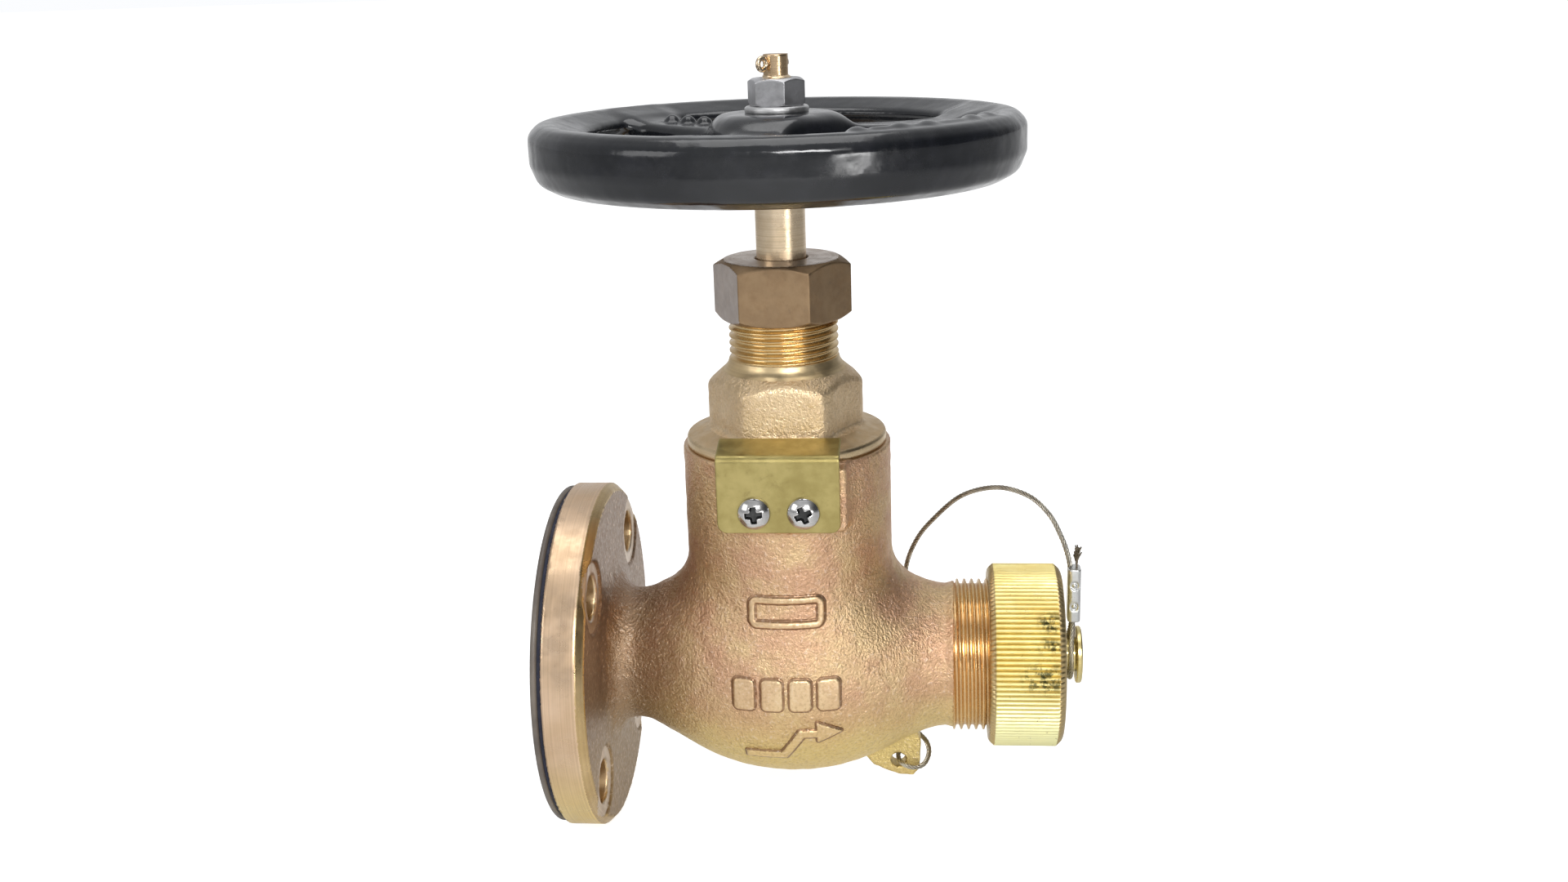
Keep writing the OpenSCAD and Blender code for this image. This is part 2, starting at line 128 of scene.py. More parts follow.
def link_quads(name, verts, quads):
    """A large quad mesh from arrays of row-frame metres and corner indices."""
    me = bpy.data.meshes.new(name)
    me.vertices.add(len(verts))
    me.vertices.foreach_set("co", np.asarray(verts, np.float32).ravel())
    me.loops.add(quads.size)
    me.loops.foreach_set("vertex_index", quads.astype(np.int32).ravel())
    me.polygons.add(len(quads))
    me.polygons.foreach_set("loop_start", np.arange(0, quads.size, 4, dtype=np.int32))
    me.polygons.foreach_set("use_smooth", np.ones(len(quads), bool))
    me.update(calc_edges=True)
    me.validate()
    ob = bpy.data.objects.new(name, me)
    bpy.context.scene.collection.objects.link(ob)
    return ob


def gradient(f, p):
    """The gradient of a distance field at points, by central differences."""
    e = 0.02
    g = np.empty_like(p)
    for k in range(3):
        d = np.zeros(3)
        d[k] = e
        a, b = p + d, p - d
        g[:, k] = (f(a[:, 0], a[:, 1], a[:, 2]) - f(b[:, 0], b[:, 1], b[:, 2])) / (2 * e)
    return g


def nets(f, lo, hi, h):
    """Surface net of f = 0 (negative inside) on a grid of step h: vertices and quads."""
    lo = np.array(lo, float)
    n = np.ceil((np.array(hi, float) - lo) / h).astype(int) + 1
    ax = [lo[k] + h * np.arange(n[k]) for k in range(3)]
    field = np.empty(n, np.float32)
    batch = 12  # layers at a time, to bound memory
    for i in range(0, n[0], batch):
        x, y, z = np.meshgrid(ax[0][i:i + batch], ax[1], ax[2], indexing="ij")
        field[i:i + batch] = f(x, y, z)
    field[field == 0] = 1e-6
    inside = field < 0
    corner = [(a, b, c) for a in (0, 1) for b in (0, 1) for c in (0, 1)]
    size = n - 1
    part = lambda arr, o: arr[o[0]:o[0] + size[0], o[1]:o[1] + size[1], o[2]:o[2] + size[2]]
    count = np.zeros(size, np.int8)
    for o in corner:
        count += part(inside, o)
    mixed = (count > 0) & (count < 8)
    cells = np.argwhere(mixed)
    index = np.full(size, -1, np.int64)
    index[mixed] = np.arange(len(cells))
    values = {o: field[cells[:, 0] + o[0], cells[:, 1] + o[1], cells[:, 2] + o[2]] for o in corner}
    total, hits = np.zeros((len(cells), 3)), np.zeros(len(cells))
    for a in corner:
        for k in range(3):
            if a[k]:
                continue
            b = tuple(1 if j == k else a[j] for j in range(3))
            va, vb = values[a], values[b]
            crossing = (va < 0) != (vb < 0)
            t = np.where(crossing, va / np.where(crossing, va - vb, 1), 0)
            p = np.array(a, float)[None, :] + t[:, None] * (np.arange(3) == k)
            total += np.where(crossing[:, None], p, 0)
            hits += crossing
    verts = lo + h * (cells + total / hits[:, None])
    quads = []
    for k in range(3):
        u, v = (k + 1) % 3, (k + 2) % 3
        span = [slice(1, n[j] - 1) for j in range(3)]
        span[k] = slice(0, n[k] - 1)
        nxt = list(span)
        nxt[k] = slice(1, n[k])
        a, b = inside[tuple(span)], inside[tuple(nxt)]
        at = np.argwhere(a != b)
        at += [s.start for s in span]
        eu, ev = np.eye(3, dtype=int)[u], np.eye(3, dtype=int)[v]
        get = lambda q: index[q[:, 0], q[:, 1], q[:, 2]]
        quad = np.stack([get(at - eu - ev), get(at - ev), get(at), get(at - eu)], 1)
        flip = ~inside[at[:, 0], at[:, 1], at[:, 2]]
        quad[flip] = quad[flip][:, ::-1]
        quads.append(quad)
    return verts, np.concatenate(quads)


def shape(name, f, lo, hi, h, decimate=None):
    """A mesh of the solid f < 0, in millimetres, pulled onto the surface."""
    verts, quads = nets(f, lo, hi, h)
    for _ in range(3):
        g = gradient(f, verts)
        d = f(verts[:, 0], verts[:, 1], verts[:, 2])
        pull = g * (d / np.maximum((g * g).sum(1), 0.2))[:, None]
        size = np.linalg.norm(pull, axis=1)
        verts -= pull * np.minimum(1, 0.5 * h / np.maximum(size, 1e-9))[:, None]
    ob = link_quads(name, place(verts), quads)
    if decimate:
        m = ob.modifiers.new("thin", "DECIMATE")
        m.ratio = decimate
        apply_modifiers(ob)
        ob.data.polygons.foreach_set("use_smooth", [True] * len(ob.data.polygons))
    return ob


def apply_modifiers(ob):
    dg = bpy.context.evaluated_depsgraph_get()
    dg.update()
    new = bpy.data.meshes.new_from_object(ob.evaluated_get(dg))
    ob.modifiers.clear()
    old = ob.data
    ob.data = new
    new.name = ob.name
    bpy.data.meshes.remove(old)


def on_axis(axis, r, t, d):
    """The point at radius r, angle t and distance d along the pipe (x) or stem (z) axis."""
    if axis == "x":
        return d, r * math.cos(t), r * math.sin(t)
    return r * math.cos(t), r * math.sin(t), d


def ring_faces(n, m, closed=False):
    """Quads between n copies of a profile of m points set round an axis."""
    return [
        (k * m + i, (k + 1) % n * m + i, (k + 1) % n * m + (i + 1) % m, k * m + (i + 1) % m)
        for k in range(n) for i in range(m if closed else m - 1)]


def spin(name, profile, axis="z", n=128, closed=False):
    """Lathe of [radius, distance] points in mm about the stem (z) or pipe (x) axis."""
    rows = [on_axis(axis, r, 2 * math.pi * k / n, d) for k in range(n) for r, d in profile]
    ob = link(name, place(rows), ring_faces(n, len(profile), closed))
    tidy(ob)
    sharp_edges(ob, 30)
    return ob


def tidy(ob):
    """Merges doubled points, drops empty faces and turns the normals outwards."""
    bm = bmesh.new()
    bm.from_mesh(ob.data)
    bmesh.ops.remove_doubles(bm, verts=bm.verts, dist=2e-6)
    bmesh.ops.dissolve_degenerate(bm, edges=bm.edges, dist=1e-7)
    bmesh.ops.recalc_face_normals(bm, faces=bm.faces)
    bm.to_mesh(ob.data)
    bm.free()


def sharp_edges(ob, degrees):
    """Breaks the smooth shading at edges steeper than the angle."""
    bm = bmesh.new()
    bm.from_mesh(ob.data)
    for e in bm.edges:
        if len(e.link_faces) == 2 and e.calc_face_angle(0) > math.radians(degrees):
            e.smooth = False
    bm.to_mesh(ob.data)
    bm.free()


# one pitch of a thread: how far along it, and how high between root and crest
THREAD_FORM = [
    (0.0, 0), (0.12, 0.08), (0.3, 0.92), (0.36, 1), (0.5, 1), (0.56, 0.92), (0.74, 0.08), (0.86, 0)]


def thread(name, crest, depth, a, b, pitch, axis, bore, lead, n=144):
    """A tube with a helical outside thread from a to b, run out over lead at b, plain bore inside."""
    phases, heights = np.array(THREAD_FORM, float).T
    run_out = depth * 1.15
    turns = int(math.ceil((b - a) / pitch)) + 1
    base = np.concatenate([phases + i for i in range(-1, turns)])

    def height(ph):
        return np.interp(ph % 1.0, np.append(phases, 1.0), np.append(heights, heights[0]))

    m = len(base)
    rows = np.zeros((n, m, 2))
    for k in range(n):
        raw = a + (base + k / n) * pitch
        d = np.clip(raw, a, b)
        ph = (d - a) / pitch - k / n
        r = crest - depth + depth * height(ph)
        r = np.minimum(r, crest - run_out * (1 - (b - d) / lead) + 0.02)
        rows[k, :, 0], rows[k, :, 1] = r, d
    verts, faces = [], []
    for k in range(n):
        for r, d in rows[k]:
            verts.append(on_axis(axis, r, 2 * math.pi * k / n, d))
    shift = len(THREAD_FORM)
    for k in range(n):
        k2 = (k + 1) % n
        for i in range(m - 1):
            if k2:
                faces.append((k * m + i, k2 * m + i, k2 * m + i + 1, k * m + i + 1))
            elif i + shift + 1 < m:
                faces.append((k * m + i, i + shift, i + shift + 1, k * m + i + 1))
    start = len(verts)
    for d in (a, b):
        for k in range(n):
            verts.append(on_axis(axis, bore, 2 * math.pi * k / n, d))
    for k in range(n):
        k2 = (k + 1) % n
        faces.append((start + k, start + k2, k2 * m, k * m))
        faces.append((start + n + k, start + n + k2, k2 * m + m - 1, k * m + m - 1))
        faces.append((start + k, start + k2, start + n + k2, start + n + k))
    ob = link(name, place(verts), faces)
    tidy(ob)
    sharp_edges(ob, 50)
    return ob


def join(name, objects):
    """One object from several, keeping each one's material slots."""
    first = objects[0]
    with bpy.context.temp_override(
            active_object=first, selected_editable_objects=objects, selected_objects=objects):
        bpy.ops.object.join()
    first.name = name
    first.data.name = name
    return first


# ---------------------------------------------------------------- distance fields

def smin(a, b, k):
    """The union of two fields with a fillet of size k."""
    h = np.maximum(k - np.abs(a - b), 0) / k
    return np.minimum(a, b) - h * h * k * 0.25


def smax(a, b, k):
    return -smin(-a, -b, k)


def turn_xy(x, y, a):
    """Coordinates along and across a direction at angle a."""
    return x * math.cos(a) + y * math.sin(a), y * math.cos(a) - x * math.sin(a)


def box2(x, y, cx, cy, hx, hy, r=0.0):
    qx, qy = np.abs(x - cx) - hx + r, np.abs(y - cy) - hy + r
    return np.hypot(np.maximum(qx, 0), np.maximum(qy, 0)) + np.minimum(np.maximum(qx, qy), 0) - r


def slab(x, a, b):
    return np.maximum(a - x, x - b)


def poly2(x, y, pts, r=0.0):
    """Signed distance to a polygon, negative inside."""
    pts = np.array(pts, float)
    d = np.full(np.shape(x), FAR)
    sign = np.ones(np.shape(x))
    for i in range(len(pts)):
        a, b = pts[i], pts[i - 1]
        ex, ey = b - a
        wx, wy = x - a[0], y - a[1]
        t = np.clip((wx * ex + wy * ey) / (ex * ex + ey * ey), 0, 1)
        d = np.minimum(d, (wx - ex * t) ** 2 + (wy - ey * t) ** 2)
        c1, c2, c3 = y >= a[1], y < b[1], ex * wy > ey * wx
        sign = np.where((c1 & c2 & c3) | (~c1 & ~c2 & ~c3), -sign, sign)
    return sign * np.sqrt(d) - r


def grain(x, y, z, size, seed):
    """Smooth value noise, -1 to 1, with the given feature size in mm."""
    out = 0
    gx, gy, gz = x / size, y / size, z / size
    ix, iy, iz = (np.floor(v).astype(np.int64) for v in (gx, gy, gz))
    fx, fy, fz = gx - ix, gy - iy, gz - iz
    fx, fy, fz = (v * v * (3 - 2 * v) for v in (fx, fy, fz))
    for a in (0, 1):
        for b in (0, 1):
            for c in (0, 1):
                k = (ix + a) * 73856093 ^ (iy + b) * 19349663 ^ (iz + c) * 83492791 ^ seed * 2654435761
                k = (k ^ (k >> 13)) * 1274126177
                v = ((k ^ (k >> 16)) & 0xFFFF) / 32767.5 - 1
                w = (fx if a else 1 - fx) * (fy if b else 1 - fy) * (fz if c else 1 - fz)
                out = out + v * w
    return out


def bolt_distance(y, z):
    """Distance to the nearest bolt hole's axis."""
    return np.hypot(np.abs(y) - BOLT, np.abs(z) - BOLT)


LUG_OUTLINE = [
    (16, -24), (22.6, -32.6), (29.6, -35.4), (32.6, -35.4), (34, -34), (34.5, -26.5), (32.5, -19), (22, -16)]
WEB_OUTLINE = [(-40, 26), (-17.5, 6.5), (19, 6.5), (44, -20), (38, -24), (17, 2), (-19, 2), (-44, 20)]
ARROW_OUTLINE = [
    (-10.6, -16.6), (-1.2, -16.6), (3.8, -8.9), (8.6, -8.9), (8.6, -6.4), (14.6, -9.4), (8.6, -12.6),
    (8.6, -10.8), (4.8, -10.8), (-0.2, -18.5), (-10.6, -18.5)]


def body_outside(x, y, z):
    """The casting's outer skin: belly, necks, plate pad, lug and flange, joined by fillets."""
    r, rho = np.hypot(y, z), np.hypot(x, y)
    belly = np.hypot(x, r + ARC_OFF) - ARC_R
    inlet = np.maximum(r - INLET_NECK_R, slab(x, -50.5, -28))
    outlet = np.maximum(r - OUTLET_NECK_R - 0.35 * np.maximum(x - 42, 0), slab(x, 28, HOSE_X0))
    neck = smax(rho - NECK_R, slab(z, 0, NECK_TOP), 0.6)
    pad = np.maximum(box2(x, z, 1.0, 54, 16.3, 8.4, 1.2), slab(y, -28.5, -10))
    pad = np.maximum(pad, z - NECK_TOP)
    lug = np.maximum(poly2(x, z, LUG_OUTLINE, 0.8), np.abs(y) - 2.5)
    flange = np.maximum(r - FLANGE_R, slab(x, FLANGE_FACE, FLANGE_BACK))
    flange = np.maximum(flange, (r + x + 4) * 0.7071)  # 45 degree chamfer
    d = belly
    for part, fillet in ((inlet, 9), (outlet, 6.5), (neck, 7.5), (pad, 2.0), (lug, 2.4), (flange, 11)):
        d = smin(d, part, fillet)
    return d


def mark_outline(x, z):
    """Signed distance to the raised marks: a flow arrow, four plain blocks and an empty frame."""
    marks = poly2(x, z, ARROW_OUTLINE, 0.3)
    for k in range(4):
        marks = np.minimum(marks, box2(x, z, -10.4 + 7.4 * k, 1.9, 2.9, 4.4, 1.4))
    return np.minimum(marks, np.abs(box2(x, z, 1.0, 23.4, 9.0, 3.2, 1.4)) - 0.9)


def body_field(x, y, z):
    """The body: the pebbly casting, less its chamber, bores and holes."""
    r, rho, bolt = np.hypot(y, z), np.hypot(x, y), bolt_distance(y, z)
    pebbles = 0.1 * grain(x, y, z, 2.6, 3) + 0.05 * grain(x, y, z, 1.3, 5)
    d = body_outside(x, y, z) + np.where((x > -49.3) & (z < 61.4), pebbles, 0)
    # the chamber, with the seat web left in
    web = poly2(x, z, WEB_OUTLINE)
    web = smin(web, np.maximum(rho - 16, slab(z, 0, 8)), 1.5)
    d = np.maximum(d, -smax(np.hypot(x, r + ARC_OFF) - CHAMBER_R, -web, 1.5))
    cuts = np.maximum(np.hypot(x - LUG_X, z - LUG_Z) - LUG_HOLE_R, np.abs(y) - 4)
    for off, radius, along, lo, hi in (
            (rho, SEAT_R, z, -10, 9), (rho, 21, z, 15, 47), (rho, 23.9, z, 42, 63), (rho, 25.5, z, 61, 64),
            (r, INLET_R, x, -62, -28), (r, OUTLET_R, x, 34, 46),
            (bolt, BOLT_R, x, -62, -40), (bolt, SPOT_R, x, -50.1, -43)):
        cuts = np.minimum(cuts, np.maximum(off - radius, slab(along, lo, hi)))
    return np.maximum(np.maximum(d, -cuts), x - HOSE_X0)


def mark_field(x, y, z):
    """The skin of the casting lifted 0.8 mm inside the marks' outline, on a thin foot."""
    skin = body_outside(x, y, z) + 0.06 * grain(x, y, z, 1.3, 5)
    outline = mark_outline(x, z)
    lifted = smax(skin - 0.8, outline, 0.8)
    foot = np.maximum(skin - 0.22, outline - 0.45)
    return np.maximum(np.maximum(smin(lifted, foot, 0.3), -1.2 - skin), y)


def hexagon(x, y, af, turn):
    """Signed distance to a hexagon with a flat facing -Y turned by the angle, in degrees."""
    d = -FAR
    for k in range(3):
        a = math.radians(-90 + turn + 60 * k)
        d = np.maximum(d, np.abs(x * math.cos(a) + y * math.sin(a)) - af / 2)
    return d


def bonnet_field(x, y, z):
    """The bonnet: chamfered hexagon, ring, collar and skirt, less its bores."""
    rho = np.hypot(x, y)
    h = hexagon(x, y, HEX_AF, HEX_TURN)
    h = smax(h, rho - HEX_CORNER_R, 1.2)
    h = smax(h, slab(z, 60, 84.5), 0.6)
    h = smax(h, (rho * 0.66 + z * 0.75 - 72.4), 1.0)
    ring = np.maximum(rho - 14.5, slab(z, 78, 85.6))
    ring = smax(ring, z - 85.3, 0.4)
    d = smin(h, ring, 1.6)
    collar = smax(rho - COLLAR_R, slab(z, NECK_TOP, 64.6), 0.8)
    cone = np.maximum(rho * 0.31 + z * 0.951 - 69.6, slab(z, 62.4, 67))
    cone = np.maximum(cone, rho - 26)
    collar = smin(collar, cone, 0.8)
    d = smin(d, collar, 1.2)
    d = np.minimum(d, np.maximum(rho - 22.7, slab(z, 46, 62.5)))
    pebbles = 0.06 * grain(x, y, z, 1.6, 8) + 0.05 * grain(x, y, z, 3.2, 9)
    d = d + np.where((z > 66) & (z < 81), pebbles, 0)
    cut = np.maximum(rho - SKIRT_BORE, slab(z, 40, 53))
    cut = np.minimum(cut, np.maximum(rho - 8.08, slab(z, 40, 86)))
    return np.maximum(d, -cut)


SPOKES = (20, 140, 260)
# the rim's cross-section: radius and height, grown by 3.4 mm all round
RIM_SECTION = [
    (59.5, 143.6), (58.8, 144.3), (57.4, 144.3), (52.2, 142.2), (51.2, 141.0), (51.2, 136.4), (52.2, 135.0),
    (56.4, 134.7), (58.4, 135.8), (59.5, 138.6)]


def wheel_field(x, y, z):
    """The plain handwheel: rim, hub and three spokes."""
    rho = np.hypot(x, y)
    rim = poly2(rho, z, RIM_SECTION, 3.4)
    hollow = np.hypot(rho - 47.2, (z - 138.6) * 0.9) - 4.6
    rim = smax(rim, -hollow, 1.4)
    hub = smax(rho - HUB_R - 0.04 * (148 - z), slab(z, HUB_BOTTOM, HUB_TOP), 5)
    d = FAR
    for s in SPOKES:
        u, v = turn_xy(x, y, math.radians(s))
        t = np.clip((u - 12) / 40, 0, 1)
        top = 144.6 - 2.2 * np.sin(t * math.pi) * 0.4
        half = 6.8 + 1.8 * (2 * t - 1) ** 2
        q = np.hypot(np.maximum(np.abs(v) - half + 2.6, 0), np.maximum(np.abs(z - top + 3.2) - 0.8, 0)) - 2.6
        q = np.maximum(q, slab(u, 5, 54))
        d = np.minimum(d, q)
    d = smin(d, hub, 6)
    return smin(d, rim, 5)


def ball(x, y, z, radius, angle, height, flat):
    """Distance from a point beside the stem axis, with heights stretched by flat."""
    px, py = radius * math.cos(angle), radius * math.sin(angle)
    return np.sqrt((x - px) ** 2 + (y - py) ** 2 + ((z - height) * flat) ** 2)


def wheel_full(x, y, z):
    """The handwheel with its relief and the square hole for the spindle."""
    pips = FAR
    for k in range(4):
        pip = ball(x, y, z, 21 + 6.5 * k, math.radians(SPOKES[1]), 143.6, math.sqrt(0.8)) - 2.3
        pips = np.minimum(pips, pip)
    d = smin(wheel_field(x, y, z), pips, 1.2)
    # a long ridge with five knobs on the rim's front-right shoulder
    arc = np.abs(np.degrees(np.arctan2(y, x)) + 42) - 21
    ridge = smax(np.hypot(np.hypot(x, y) - 55.6, z - 146.6) - 1.7, arc, 1.0)
    for c in (-66, -55, -47, -30, -20):
        ridge = smin(ridge, ball(x, y, z, 55.2, math.radians(c), 145.8, 1.1) - 3.1, 1.2)
    d = smin(d, ridge, 1.4)
    hole = np.maximum(np.maximum(np.abs(x), np.abs(y)) - SQUARE_HOLE, slab(z, 120, 160))
    return np.maximum(d, -hole)


# ---------------------------------------------------------------- materials

class Paint:
    """A small builder of procedural node materials. Sizes are in millimetres."""

    def __init__(self, name, metallic=0.0, **sockets):
        self.mat = bpy.data.materials.new(name)
        self.mat.use_nodes = True
        self.nt = self.mat.node_tree
        self.bsdf = self.nt.nodes["Principled BSDF"]
        self.bsdf.inputs["Metallic"].default_value = metallic
        for k, v in sockets.items():
            self.bsdf.inputs[k.replace("_", " ")].default_value = v
        self.coord = self.nt.nodes.new("ShaderNodeTexCoord").outputs["Object"]
        self.height = None

    def node(self, kind, **props):
        n = self.nt.nodes.new(kind)
        for k, v in props.items():
            setattr(n, k, v)
        return n

    def put(self, socket, value):
        """Links a node's output or sets a number or a colour."""
        if isinstance(value, bpy.types.NodeSocket):
            self.nt.links.new(value, socket)
        elif isinstance(value, tuple) and socket.type == "RGBA":
            socket.default_value = (*value, 1)
        else:
            socket.default_value = value

    def stretch(self, sx, sy, sz, vector=None):
        n = self.node("ShaderNodeVectorMath", operation="MULTIPLY")
        self.put(n.inputs[0], vector or self.coord)
        n.inputs[1].default_value = (sx, sy, sz)
        return n.outputs[0]

    def shifted(self, at_mm):
        n = self.node("ShaderNodeVectorMath", operation="SUBTRACT")
        self.put(n.inputs[0], self.coord)
        n.inputs[1].default_value = [c * MM for c in at_mm]
        return n.outputs[0]

    def noise(self, size, detail=3.0, rough=0.55, vector=None):
        n = self.node("ShaderNodeTexNoise")
        self.put(n.inputs["Vector"], vector or self.coord)
        n.inputs["Scale"].default_value = 1000.0 / size
        n.inputs["Detail"].default_value = detail
        n.inputs["Roughness"].default_value = rough
        return n.outputs["Fac"]

    def split(self, vector=None):
        n = self.node("ShaderNodeSeparateXYZ")
        self.put(n.inputs[0], vector or self.coord)
        return n.outputs

    def math(self, op, a, b=0.0):
        n = self.node("ShaderNodeMath", operation=op)
        self.put(n.inputs[0], a)
        self.put(n.inputs[1], b)
        return n.outputs[0]

    def span(self, value, lo, hi, to_lo=0.0, to_hi=1.0):
        """A smooth step from to_lo at lo to to_hi at hi."""
        n = self.node("ShaderNodeMapRange", interpolation_type="SMOOTHSTEP")
        self.put(n.inputs["Value"], value)
        for k, v in (("From Min", lo), ("From Max", hi), ("To Min", to_lo), ("To Max", to_hi)):
            n.inputs[k].default_value = v
        return n.outputs["Result"]

    def mix(self, fac, a, b):
        n = self.node("ShaderNodeMix", data_type="RGBA")
        self.put(n.inputs[0], fac)
        self.put(n.inputs[6], a)
        self.put(n.inputs[7], b)
        return n.outputs[2]

    def color(self, value):
        self.put(self.bsdf.inputs["Base Color"], value)

    def rough(self, value):
        self.put(self.bsdf.inputs["Roughness"], value)

    def bump(self, height, depth_mm):
        """Adds a bump over the ones before it."""
        n = self.node("ShaderNodeBump")
        n.inputs["Distance"].default_value = depth_mm * MM
        self.put(n.inputs["Height"], height)
        if self.height is not None:
            self.put(n.inputs["Normal"], self.height)
        self.height = n.outputs[0]
        self.put(self.bsdf.inputs["Normal"], self.height)

    def around(self, axis):
        """Distance in mm from the stem axis (z) or the pipe axis (x), and the height along it."""
        s = self.split(self.shifted((STEM_X, 0, 0)))
        u, v, w = (s[0], s[1], s[2]) if axis == "z" else (s[1], s[2], s[0])
        r = self.math("SQRT", self.math("ADD", self.math("MULTIPLY", u, u), self.math("MULTIPLY", v, v)))
        return self.math("MULTIPLY", r, 1000.0), self.math("MULTIPLY", w, 1000.0)


def cast_bronze(
        name, pink=(0.69, 0.42, 0.26), pale=(0.78, 0.56, 0.31), pit_shade=(0.42, 0.25, 0.13),
        low=(0.82, 0.65, 0.26), grit=0.8, depth=0.4):
    """Sand-cast bronze: even pebbly skin, pink to tan, with painted shade in the pits, painted glints on the
    crests, a painted floor reflection that makes it yellower below and painted shade towards the flange.
    """
    p = Paint(name, metallic=0.9)
    pebbles = p.noise(grit, 2.5, 0.55)
    base = p.mix(p.span(p.noise(13, 4, 0.6), 0.36, 0.66), pink, pale)
    at = p.split()
    # painted floor reflection: the low colour mixed in towards the bottom
    base = p.mix(p.span(at[2], 0.004, -0.022, 0.0, 0.92), base, low)
    # painted shade on the inlet neck, darker towards the flange
    base = p.mix(p.span(at[0], 0.042, 0.020, 0.0, 0.85), base, (0.31, 0.205, 0.13))
    # painted shade in the pebbles' pits and painted glints on their crests, from the same noise as the bump
    base = p.mix(p.span(pebbles, 0.50, 0.34, 0.0, 0.3), base, pit_shade)
    base = p.mix(p.span(pebbles, 0.56, 0.72, 0.0, 0.45), base, (0.96, 0.78, 0.62))
    p.color(base)
    p.rough(p.span(p.noise(1.3, 3), 0.3, 0.7, 0.30, 0.46))
    p.bump(pebbles, depth)
    p.bump(p.noise(grit * 0.45, 2, 0.5), depth * 0.4)
    return p.mat


def turned(
        name, base, pale, axis, stain=(0.35, 0.22, 0.12), rough=0.3, line=0.35, depth=0.012, stains=0.35,
        low=None):
    """Machined metal: fine turning lines round the axis, faint handling stains and, given low, a painted
    floor reflection towards the bottom.
    """
    p = Paint(name, metallic=1.0)
    r, along = p.around(axis)
    comb = p.node("ShaderNodeCombineXYZ")
    p.put(comb.inputs[0], p.math("MULTIPLY", r, MM / line))
    p.put(comb.inputs[1], p.math("MULTIPLY", along, MM / line))
    lines = p.noise(1.0, 2, 0.6, vector=comb.outputs[0])
    patches = p.noise(14, 4, 0.62)
    spots = p.noise(2.2, 3, 0.6)
    c = p.mix(p.span(patches, 0.35, 0.7), base, pale)
    # low: painted floor reflection, a colour mixed in towards the bottom
    if low:
        c = p.mix(p.span(p.split()[2], -0.005, -0.035, 0.0, 0.85), c, low)
    c = p.mix(p.span(spots, 0.6, 0.8, 0.0, stains), c, stain)
    c = p.mix(p.span(lines, 0.3, 0.7, 0.0, 0.25), c, stain)
    p.color(c)
    p.rough(p.span(p.noise(5, 4), 0.3, 0.7, rough * 0.75, rough * 1.3))
    p.bump(lines, depth)
    p.bump(p.noise(0.7, 2), depth * 0.8)
    return p.mat


def flat_metal(name, base, pale, stain, rough, brush=(1, 1, 1), depth=0.01, stains=0.4, patch=8):
    """Flat-machined or rolled metal: directional brushing with stains."""
    p = Paint(name, metallic=1.0)
    lines = p.noise(0.36, 3, 0.6, vector=p.stretch(*brush))
    patches = p.noise(patch, 4, 0.6)
    c = p.mix(p.span(patches, 0.32, 0.7), base, pale)
    c = p.mix(p.span(p.noise(2.6, 4, 0.65), 0.56, 0.78, 0.0, stains), c, stain)
    p.color(c)
    p.rough(p.span(p.noise(3, 4), 0.3, 0.7, rough * 0.75, rough * 1.3))
    p.bump(lines, depth)
    p.bump(p.noise(0.9, 3), depth)
    return p.mat


def enamel():
    """Gloss black enamel dipped over a cast wheel."""
    p = Paint("black_enamel", Coat_Weight=0.5, Coat_Roughness=0.12, IOR=1.45)
    dust = p.noise(6, 5, 0.65)
    c = p.mix(p.span(dust, 0.4, 0.75), (0.004, 0.005, 0.007), (0.010, 0.011, 0.015))
    scratch = p.noise(1.4, 3, 0.7, vector=p.stretch(1.0, 1.0, 6.0))
    c = p.mix(p.span(scratch, 0.72, 0.78, 0.0, 0.35), c, (0.10, 0.10, 0.11))
    p.color(c)
    p.rough(p.span(p.noise(7, 4, 0.7), 0.35, 0.7, 0.1, 0.3))
    p.bump(p.noise(12, 2, 0.4), 0.7)
    p.bump(p.noise(3.0, 2, 0.4), 0.06)
    return p.mat


def plain(name, base, other, rough, size=2.0, depth=0.02, metallic=0.0):
    """Plastic, rubber or graphite: two near colours and a light bump."""
    p = Paint(name, metallic=metallic)
    p.color(p.mix(p.span(p.noise(size * 3, 4), 0.35, 0.7), base, other))
    p.rough(p.span(p.noise(size, 3), 0.3, 0.7, rough * 0.8, rough * 1.25))
    p.bump(p.noise(size * 0.4, 3), depth)
    return p.mat


def stained_brass():
    """Bright yellow brass cap with greenish-black tarnish specks, painted shade in the knurl grooves and a
    painted floor reflection below.
    """
    p = Paint("cap_brass", metallic=0.85)
    patches = p.noise(11, 4, 0.6)
    c = p.mix(p.span(patches, 0.35, 0.7), (0.88, 0.72, 0.29), (0.96, 0.85, 0.40))
    r, _ = p.around("x")
    # painted floor reflection: paler yellow towards the bottom
    c = p.mix(p.span(p.split()[2], 0.004, -0.014, 0.0, 0.9), c, (1.0, 0.98, 0.56))
    # painted shade in the knurl grooves
    c = p.mix(p.span(r, 24.65, 24.2, 0.0, 0.7), c, (0.52, 0.37, 0.10))
    specks = p.noise(1.5, 4, 0.7)
    c = p.mix(p.span(specks, 0.64, 0.72, 0.0, 0.75), c, (0.26, 0.17, 0.05))
    blotch = p.span(p.noise(2.0, 5, 0.75, vector=p.stretch(1.0, 1.0, 0.7)), 0.45, 0.58)
    for spot, reach in (
            ((STEM_X + 67.8, -24.5, 3.5), 0.0076), ((STEM_X + 69.2, -22, 11.5), 0.004),
            ((STEM_X + 69.5, -18.5, 16.8), 0.0045)):
        d = p.node("ShaderNodeVectorMath", operation="LENGTH")
        p.put(d.inputs[0], p.stretch(0.9, 0.8, 1.3, p.shifted(spot)))
        area = p.span(d.outputs["Value"], reach, reach * 0.25)
        c = p.mix(p.math("MULTIPLY", p.math("MULTIPLY", area, blotch), 0.9), c, (0.045, 0.06, 0.03))
    p.color(c)
    p.rough(p.span(p.noise(2.5, 4), 0.3, 0.7, 0.36, 0.52))
    p.bump(p.noise(0.6, 2), 0.012)
    return p.mat


